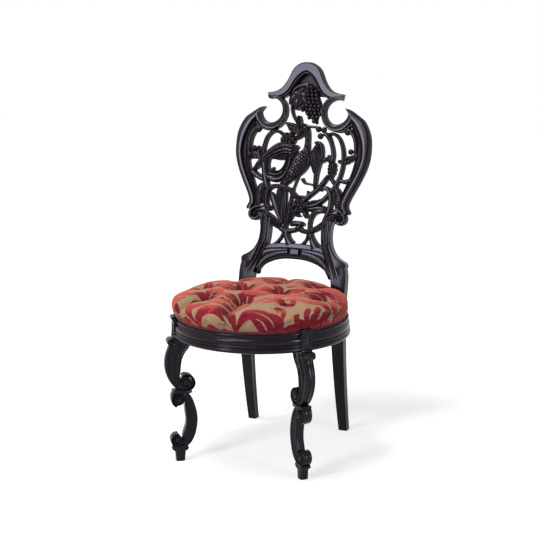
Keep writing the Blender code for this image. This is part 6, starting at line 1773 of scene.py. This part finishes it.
@dataclass
class TuftedSeat:
    """The round seat: a buttoned damask cover over springs and hair, its buttons and its piping."""

    chair: Chair
    crown: float = 449.0
    bulge: float = 27.0
    reach: float = 228.5
    foot: float = 217.2
    pitch: float = 108.0
    row_pitch: float = 112.0
    tuft_depth: float = 42.0
    tuft_spread: float = 17.0
    crease_depth: float = 18.5
    crease_width: float = 9.0
    level_button: int = 2
    level_share: float = 0.12
    lean: float = 0.028
    lean_angle: float = 0.4
    shoulder: float = 7.0
    shoulder_at: float = 195.0
    shoulder_width: float = 40.0
    pleats: Points = (
        (0, 15, 22), (1, 15, 22), (7, 10, 15), (8, 10, 15), (9, 8, 15))
    cells: int = 120
    finer: int = 3
    swell_cap: float = 4.0
    pile_height: float = 0.6
    button_radius: float = 8.5
    button_rise: float = 2.2
    piping_radius: float = 4.2
    piping_gap: float = 0.3
    moments: int = 20

    def tufts(self) -> Array:
        """Middles of the ten buttons: rows of three, four and three, seen from above the seat's axis."""
        rows = ((-1, (-1, 0, 1)), (0, (-1.5, -0.5, 0.5, 1.5)), (1, (-1, 0, 1)))
        return np.array([(x * self.pitch, y * self.row_pitch) for y, xs in rows for x in xs])

    def profile(self) -> Array:
        """Measure the cover from its crown to its foot: distance along the cloth, radius and height.

        The crown runs as r = R sin(p)^0.9 and z = bulge + rise cos(p)^0.62, and below the bulge it rolls in
        on a quarter ellipse to the rail.

        Returns:
            Rows of (distance, radius, height) in millimetres.
        """
        level = self.chair.rail_top + self.bulge
        p = np.linspace(0.0, 0.5 * math.pi, 400)
        rise = (self.crown - level) * np.cos(p) ** 0.62
        over = np.stack([self.reach * np.sin(p) ** 0.9, level + rise], axis=-1)
        under = np.stack([self.foot + (self.reach - self.foot) * np.cos(p),
                          level - (self.bulge - 0.8) * np.sin(p)], axis=-1)[1:]
        line = np.concatenate([over, under])
        run = np.concatenate([[0.0], np.cumsum(np.linalg.norm(np.diff(line, axis=0), axis=1))])
        return np.concatenate([run[:, None], line], axis=1)

    def cloth_grid(self) -> Array:
        """Lay a square grid over the round cloth.

        A point (a, b) of the square goes to (a sqrt(1 - b^2 / 2), b sqrt(1 - a^2 / 2)) of the disc.

        Returns:
            Grid of positions on the flat cloth, in millimetres from its middle.
        """
        marks = np.linspace(-1, 1, self.cells + 1)
        a, b = np.meshgrid(marks, marks, indexing="xy")
        disc = np.stack([a * np.sqrt(1 - 0.5 * b ** 2), b * np.sqrt(1 - 0.5 * a ** 2)], axis=-1)
        return disc * self.profile()[-1, 0]

    def drawn_down(self, plan: Array) -> Array:
        """How far the buttons and the creases between them pull the cover down.

        A button pulls depth / (1 + (d / spread)^2)^1.1, the level one by a small share of that. A crease
        between two neighbours of next rows pulls as a bell curve of the distance to their line, and so does
        a pleat that runs outwards from a button near the edge.

        Args:
            plan: positions seen from above.

        Returns:
            The drop in millimetres.
        """
        tufts = self.tufts()
        pull = np.ones(len(tufts))
        pull[self.level_button] = self.level_share
        gap = np.linalg.norm(plan[..., None, :] - tufts, axis=-1)
        drop = (self.tuft_depth * pull / (1.0 + (gap / self.tuft_spread) ** 2) ** 1.1).max(axis=-1)
        near = [(i, j) for i in range(len(tufts)) for j in range(i) if abs(tufts[i, 1] - tufts[j, 1]) > 1.0
                and np.linalg.norm(tufts[i] - tufts[j]) < 1.3 * self.pitch]
        for i, j in near:
            along = tufts[j] - tufts[i]
            share = np.clip(((plan - tufts[i]) @ along) / (along @ along), 0.0, 1.0)
            away = np.linalg.norm(plan - tufts[i] - share[..., None] * along, axis=-1)
            depth = self.crease_depth * min(pull[i], pull[j]) * (0.55 + 0.45 * np.cos(2 * math.pi * share))
            drop = np.maximum(drop, depth * np.exp(-(away / self.crease_width) ** 2))
        for order, depth, width in self.pleats:
            tuft = tufts[int(order)]
            away = (plan - tuft) @ np.array([tuft[1], -tuft[0]]) / np.linalg.norm(tuft)
            ahead = np.clip(((plan - tuft) @ tuft / np.linalg.norm(tuft) + 10.0) / 20.0, 0.0, 1.0)
            drop = np.maximum(drop, depth * ahead * np.exp(-(away / width) ** 2))
        return drop

    def shaped(self, cloth: Array) -> Array:
        """Bend the flat cloth over the seat and draw it down at the buttons.

        Towards the right stile the radius above the piping shrinks by lean cos(turn)^2, and the cover's
        shoulder stands higher there by a bell curve of the distance along the cloth.

        Args:
            cloth: positions on the flat cloth.

        Returns:
            Positions about the seat's axis, in millimetres.
        """
        table = self.profile()
        run = np.linalg.norm(cloth, axis=-1)
        radius = np.interp(run, table[:, 0], table[:, 1])
        height = np.interp(run, table[:, 0], table[:, 2])
        above = np.clip((height - self.chair.rail_top) / self.bulge, 0.0, 1.0)
        turn = np.arctan2(cloth[..., 1], cloth[..., 0]) - self.lean_angle
        towards = np.clip(np.cos(turn), 0.0, 1.0) ** 2
        radius = radius * (1.0 - self.lean * above * towards)
        plan = cloth * (radius / np.maximum(run, 1e-6))[..., None]
        full = towards * np.exp(-((run - self.shoulder_at) / self.shoulder_width) ** 2)
        height = height + self.shoulder * full
        fade = np.clip((height - self.chair.rail_top - self.bulge) / 10.0, 0.0, 1.0)
        return np.concatenate([plan, (height - fade * self.drawn_down(plan))[..., None]], axis=-1)

    def closed(self, grid: Array) -> tuple[Array, list[list[int]]]:
        """Close the cover with a flat underside that shares its rim.

        Args:
            grid: the cover's grid.

        Returns:
            All points, and the faces.
        """
        size = grid.shape[0]
        index = np.arange(size * size).reshape(size, size)
        corners = [index[:-1, :-1], index[:-1, 1:], index[1:, 1:], index[1:, :-1]]
        quads = np.stack(corners, axis=-1).reshape(-1, 4)
        rim = np.concatenate([index[0, :-1], index[:-1, -1], index[-1, :0:-1], index[:0:-1, 0]])
        middle = size * size
        fan = np.stack([np.full(len(rim), middle), np.roll(rim, -1), rim], axis=-1)
        low = np.array([[0.0, 0.0, grid[..., 2].min()]])
        return np.concatenate([grid.reshape(-1, 3), low]), quads.tolist() + fan.tolist()

    def inflated(self, grid: Array) -> Array:
        """Let the stuffing press the cover out between its buttons, as simulated cloth under pressure.

        Args:
            grid: the cover's grid as it is drawn.

        Returns:
            The grid after the cloth has settled, each point moved by the cap at most.
        """
        points, faces = self.closed(grid)
        mesh = bpy.data.meshes.new("cover_trial")
        mesh.from_pydata((points * MM).tolist(), [], faces)
        trial = hung("cover_trial", mesh)
        gap = np.linalg.norm(points[:, None, :2] - self.tufts(), axis=-1).min(axis=1)
        low = points[:, 2] < self.chair.rail_top + 0.35 * self.bulge
        held = np.nonzero((gap < 0.8 * self.button_radius) | low)[0]
        trial.vertex_groups.new(name="held").add(held.tolist(), 1.0, "REPLACE")
        cloth = trial.modifiers.new("cover_cloth", "CLOTH")
        settings = {
            "vertex_group_mass": "held", "quality": 6, "mass": 0.25, "tension_stiffness": 18.0,
            "compression_stiffness": 18.0, "shear_stiffness": 8.0, "bending_stiffness": 0.6,
            "shrink_min": -0.035, "use_pressure": True, "uniform_pressure_force": 4.0}
        for name, value in settings.items():
            setattr(cloth.settings, name, value)
        cloth.settings.effector_weights.gravity = 0.0
        cloth.point_cache.frame_start = 1
        cloth.point_cache.frame_end = self.moments
        for moment in range(1, self.moments + 1):
            bpy.context.scene.frame_set(moment)
        settled = trial.evaluated_get(bpy.context.evaluated_depsgraph_get()).to_mesh()
        after = np.empty(len(points) * 3)
        settled.vertices.foreach_get("co", after)
        bpy.data.objects.remove(trial)
        bpy.data.meshes.remove(mesh)
        bpy.context.scene.frame_set(1)
        move = after.reshape(-1, 3)[:-1] / MM - points[:-1]
        size = np.maximum(np.linalg.norm(move, axis=1), 1e-9)
        move *= np.minimum(1.0, self.swell_cap / size)[:, None]
        LOG.info("cover swelled by %.1f mm at most, %.1f mm on average", min(size.max(), self.swell_cap),
                 size.mean())
        return (points[:-1] + move).reshape(grid.shape)

    def refined(self, grid: Array) -> Array:
        """Draw the grid finer, each line a smooth curve through its points.

        Args:
            grid: rows by columns by values.

        Returns:
            The finer grid.
        """
        rows, _, depth = grid.shape
        once = smooth(grid.reshape(rows, -1), self.finer).reshape(-1, rows, depth)
        across = once.transpose(1, 0, 2).reshape(rows, -1)
        return smooth(across, self.finer).reshape(-1, once.shape[0], depth).transpose(1, 0, 2)

    def cover(self, shop: Workshop, damask: Damask) -> Array:
        """Make the buttoned cover with its figured pile.

        Args:
            shop: where pieces are made.
            damask: its cloth.

        Returns:
            The cover's fine grid about the seat's axis, in millimetres.
        """
        cloth = self.cloth_grid()
        coarse = self.shaped(cloth)
        coarse = self.inflated(coarse)
        fine = self.refined(np.concatenate([coarse, cloth], axis=-1))
        grid, flat = fine[..., :3], fine[..., 3:]
        figure = damask.figure(flat)
        normal = np.cross(np.gradient(grid, axis=1), np.gradient(grid, axis=0))
        normal /= np.maximum(np.linalg.norm(normal, axis=-1), 1e-9)[..., None]
        normal *= np.sign(normal[normal.shape[0] // 2, normal.shape[1] // 2, 2])
        raised = soft_step(figure, 2.5)
        grid = grid + normal * (self.pile_height * raised)[..., None]
        points, faces = self.closed(grid)
        quads = np.array([face for face in faces if len(face) == 4])
        tris = np.array([face for face in faces if len(face) == 3])
        surface = Surface(points, quads, tris, np.append(raised.ravel(), 0.0)).mapped(self.chair.on_seat)
        # How deep the cover is drawn down at each point; the cloth paints shade and less sheen by it.
        pit = np.clip(self.drawn_down(grid[..., :2]) / self.tuft_depth, 0.0, 1.0)
        marks = {"figure": np.append(figure.ravel(), -9.0), "pit": np.append(pit.ravel(), 0.0)}
        piece = shop.piece("seat_cushion", surface, damask, ["seat_cover", "stuffing"], 180.0, marks)
        spots = np.concatenate([flat.reshape(-1, 2), [[0.0, 0.0]]]) * MM
        layer = piece.data.uv_layers.new(name="cloth")
        corners = np.empty(len(piece.data.loops), dtype=np.int64)
        piece.data.loops.foreach_get("vertex_index", corners)
        layer.data.foreach_set("uv", spots[corners].ravel())
        return grid

    def buttons(self, shop: Workshop, damask: Damask, grid: Array) -> None:
        """Sew a covered button into each tuft, its crown just out of the pit.

        Args:
            shop: where pieces are made.
            damask: their cloth.
            grid: the cover's fine grid.
        """
        size = self.button_radius
        profile = [(0.02 * size, 4.6), (0.3 * size, 4.4), (0.6 * size, 3.5), (0.85 * size, 1.9), (size, 0.0),
                   (0.92 * size, -1.6), (0.6 * size, -2.4), (0.02 * size, -2.6)]
        flat = grid.reshape(-1, 3)
        for order, (x, y) in enumerate(self.tufts(), 1):
            seat = flat[np.argmin(np.hypot(flat[:, 0] - x, flat[:, 1] - y)), 2]
            button = turned(profile, (0.0, 0.0), 28)
            button.points = button.points + np.array([x, y, seat + self.button_rise])
            # The buttons sit half in the painted shade of their pits.
            marks = {"figure": np.full(len(button.points), 4.0), "pit": np.full(len(button.points), 0.5)}
            placed = button.mapped(self.chair.on_seat)
            shop.piece(f"seat_button_{order}", placed, damask, [f"tuft_button_{order}"], 60.0, marks)

    def piping(self, shop: Workshop, cloth: PipingCloth) -> None:
        """Lay the covered piping cord round the foot of the cover.

        A circle of the cord's radius, slightly fuller where the cloth puckers, is carried round the seat.

        Args:
            shop: where pieces are made.
            cloth: its finish.
        """
        around = np.linspace(0.0, 2 * math.pi, 480, endpoint=False)[:, None]
        about = np.linspace(0.0, 2 * math.pi, 16, endpoint=False)[None, :]
        pucker = 0.018 * np.sin(61 * around) + 0.014 * np.sin(97 * around + 2.0 * about)
        full = self.piping_radius * (1.0 + pucker)
        radius = self.foot + self.piping_gap + self.piping_radius + full * np.cos(about)
        height = self.chair.rail_top + self.piping_gap + self.piping_radius + full * np.sin(about)
        grid = np.stack([radius * np.cos(around), radius * np.sin(around), height], axis=-1)
        rows, cols = grid.shape[:2]
        index = np.arange(rows * cols).reshape(rows, cols)
        ahead = np.roll(index, -1, axis=0)
        corners = [index, np.roll(index, -1, axis=1), np.roll(ahead, -1, axis=1), ahead]
        quads = np.stack(corners, axis=-1).reshape(-1, 4)
        ring = Surface(grid.reshape(-1, 3), quads, np.zeros((0, 3), dtype=np.int64), np.ones(rows * cols))
        shop.piece("seat_piping", ring.outward().mapped(self.chair.on_seat), cloth, ["seat_welt"], 180.0)

    def build(self, shop: Workshop, damask: Damask, piping: PipingCloth) -> None:
        """Make the cover, the buttons and the piping.

        Args:
            shop: where pieces are made.
            damask: the cover's cloth.
            piping: the piping's cloth.
        """
        grid = self.cover(shop, damask)
        self.buttons(shop, damask, grid)
        self.piping(shop, piping)


@dataclass
class Underside:
    """The black dust cover tacked under the seat ring, and finishes for the inner parts of the frame."""

    chair: Chair
    radius: float = 216.5
    notch: float = 12.0
    sag: float = 4.5
    tacks: int = 40
    leg_reach: float = 0.095
    hem: float = 0.955
    head_radius: float = 2.8
    tack_inset: float = 4.0
    tack_drop: float = 1.3
    cloth_drop: float = 1.1
    inner: Sequence[tuple[str, InnerFinish]] = (
        ("corner_block", BEECH), ("crest_dowel", BEECH), ("stile_dowel", BEECH), ("webbing", JUTE),
        ("hessian", JUTE), ("seat_spring", STEEL))

    def edge(self, angle: Array) -> Array:
        """Radius of the cover's edge: a circle, cut back round the two front legs.

        It is radius - notch * exp(-(off / reach)^8), with off the turn from the nearer leg.

        Args:
            angle: turns about the seat's axis, in radians.

        Returns:
            The radius at each, in millimetres.
        """
        legs = np.array([-self.chair.leg_angle, math.pi + self.chair.leg_angle])
        off = np.abs(np.angle(np.exp(1j * (angle[..., None] - legs)))).min(axis=-1)
        return self.radius - self.notch * np.exp(-(off / self.leg_reach) ** 8)

    def cover(self, shop: Workshop) -> bpy.types.Object:
        """Stretch the cover under the ring, with its turned-in hem.

        At share s of the edge's radius it hangs by sag * (1 - s^2), with ripples of a millimetre where the
        tacks draw it, and its hem is twice as thick.

        Args:
            shop: where pieces are made.

        Returns:
            The cover.
        """
        share = np.linspace(0.004, 1.0, 60)[:, None]
        angle = np.linspace(0.0, 2 * math.pi, 240, endpoint=False)[None, :]
        reach = share * self.edge(angle)
        drawn = 0.5 * np.cos(self.tacks * angle) * np.clip((share - 0.75) / 0.2, 0.0, 1.0) * (share < 0.97)
        low = self.chair.rail_bottom - self.cloth_drop - self.sag * (1.0 - share ** 2) - 0.4 * drawn
        thick = 0.5 + 0.5 * (share > self.hem)
        under = np.stack([reach * np.cos(angle), reach * np.sin(angle), low + 0.0 * angle], axis=-1)
        over = under + np.array([0.0, 0.0, 1.0]) * thick[..., None]
        grid = np.concatenate([under, over[::-1]])
        cloth = skin(grid, np.ones(grid.shape[:2])).mapped(self.chair.on_seat)
        return shop.piece("dust_cover_cloth", cloth, CAMBRIC, ["dust_cover"])

    def build(self, shop: Workshop) -> None:
        """Make the dust cover and its tacks, and finish the inner parts.

        Args:
            shop: where pieces are made.
        """
        cover = self.cover(shop)
        angle = 2 * math.pi * (np.arange(self.tacks) + 0.5) / self.tacks
        reach = self.edge(angle) - self.tack_inset
        level = self.chair.rail_bottom - self.tack_drop
        heads = [ball((radius * math.cos(turn), radius * math.sin(turn), level), self.head_radius, 0.45, 10)
                 for turn, radius in zip(angle, reach)]
        tacks = shop.piece("dust_cover_tacks", joined(heads).mapped(self.chair.on_seat), STEEL, [])
        for part in bpy.data.objects:
            for prefix, finish in self.inner:
                if part.name.startswith(prefix):
                    for slot in part.material_slots:
                        slot.material = shop.finish(finish)
                    LOG.info("%s: %s", part.name, finish.name)


@dataclass
class Studio:
    """Pale floor, soft lamps and the camera at the photo's angle."""

    azimuth: float = math.radians(23.03)
    elevation: float = math.radians(11.21)
    distance: float = 3.307
    target: Triple = (0.0, -0.0056, 0.5)
    lens: float = 83.75
    shift: tuple[float, float] = (0.0024, -0.0085)
    lamps: Sequence[tuple[str, Triple, tuple[float, float], float, Colour]] = (
        ("key_lamp", (-1.12, -2.75, 1.55), (0.78, 1.25), 72.0, (0.95, 0.96, 1.0)),
        ("fill_lamp", (2.3, -1.0, 0.6), (0.32, 0.9), 20.0, (0.92, 0.95, 1.0)),
        ("top_lamp", (-0.5, -0.5, 2.8), (0.7, 0.7), 66.0, (1.0, 0.99, 0.97)))
    aim: Triple = (0.0, 0.0, 0.5)
    room_light: float = 0.13
    floor_half: float = 9.0
    floor_glow: tuple[float, float] = (0.7, 0.96)
    glow_reach: tuple[float, float] = (0.4, 2.0)

    def camera(self) -> None:
        """Set the camera on its bearing from the target."""
        data = bpy.data.cameras.new("studio_camera")
        data.lens = self.lens
        data.sensor_width = 36.0
        data.shift_x, data.shift_y = self.shift
        camera = hung("studio_camera", data)
        back = Vector((math.sin(self.azimuth) * math.cos(self.elevation),
                       -math.cos(self.azimuth) * math.cos(self.elevation), math.sin(self.elevation)))
        camera.matrix_world = (Matrix.Translation(Vector(self.target) + back * self.distance)
                               @ back.to_track_quat("Z", "Y").to_matrix().to_4x4())
        bpy.context.scene.camera = camera

    def lamp(self, name: str, place: Triple, size: tuple[float, float], power: float, tint: Colour) -> None:
        """Hang a soft box that faces the seat.

        Args:
            name: the lamp's name.
            place: where it hangs, in metres.
            size: width and height of the box.
            power: power in watts.
            tint: colour of its light.
        """
        data = bpy.data.lights.new(name, "AREA")
        data.shape = "RECTANGLE"
        data.size, data.size_y = size
        data.energy = power
        data.color = tint
        lamp = hung(name, data)
        towards = Vector(place) - Vector(self.aim)
        lamp.matrix_world = Matrix.Translation(place) @ towards.to_track_quat("Z", "Y").to_matrix().to_4x4()

    def floor(self) -> None:
        """Lay a wide pale floor that reads white to the camera and keeps the chair's shadow."""
        mesh = bpy.data.meshes.new("studio_floor")
        far = self.floor_half
        mesh.from_pydata([(-far, -far, 0), (far, -far, 0), (far, far, 0), (-far, far, 0)], [], [(0, 1, 2, 3)])
        floor = hung("studio_floor", mesh)
        s = Shader("studio_floor_paint")
        away = s.add("ShaderNodeVectorMath", operation="LENGTH")
        s.link(s.place(), away, 0)
        spread = s.span((away, "Value"), *self.floor_glow, self.glow_reach)
        s.set(Base_Color=(0.5, 0.5, 0.5, 1.0), Roughness=0.9, Specular_IOR_Level=0.0,
              Emission_Color=(1.0, 1.0, 1.0, 1.0), Emission_Strength=s.combine("MULTIPLY", s.shown(), spread))
        mesh.materials.append(s.material)

    def world(self) -> None:
        """Fill the room with soft light: white to the camera and in reflections, dimmer as light."""
        world = bpy.data.worlds.new("studio_room")
        world.use_nodes = True
        bpy.context.scene.world = world
        s = Nodes(world.node_tree)
        backdrop = s.tree.nodes["Background"]
        backdrop.inputs["Color"].default_value = (1.0, 1.0, 1.0, 1.0)
        s.link(s.span(s.shown(), self.room_light, 1.0), backdrop, "Strength")

    def build(self) -> None:
        """Set up the camera, floor, room light and lamps."""
        self.camera()
        self.floor()
        self.world()
        for lamp in self.lamps:
            self.lamp(*lamp)
        bpy.context.scene.view_settings.view_transform = "Standard"


def main() -> None:
    """Build the chair's looks on the frame, piece by piece."""
    logging.basicConfig(level=logging.INFO, format="%(name)s: %(message)s")
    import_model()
    chair = Chair()
    shop = Workshop()
    wood = EbonisedWood()
    BackFrame(chair).build(shop, wood)
    PiercedSplat(chair).build(shop, wood)
    RearLeg(chair).build(shop, wood)
    FrontLeg(chair).build(shop, wood)
    SeatRing(chair).build(shop, wood)
    TuftedSeat(chair).build(shop, Damask(), PipingCloth())
    Underside(chair).build(shop)
    Studio().build()


if __name__ == "__main__":
    main()
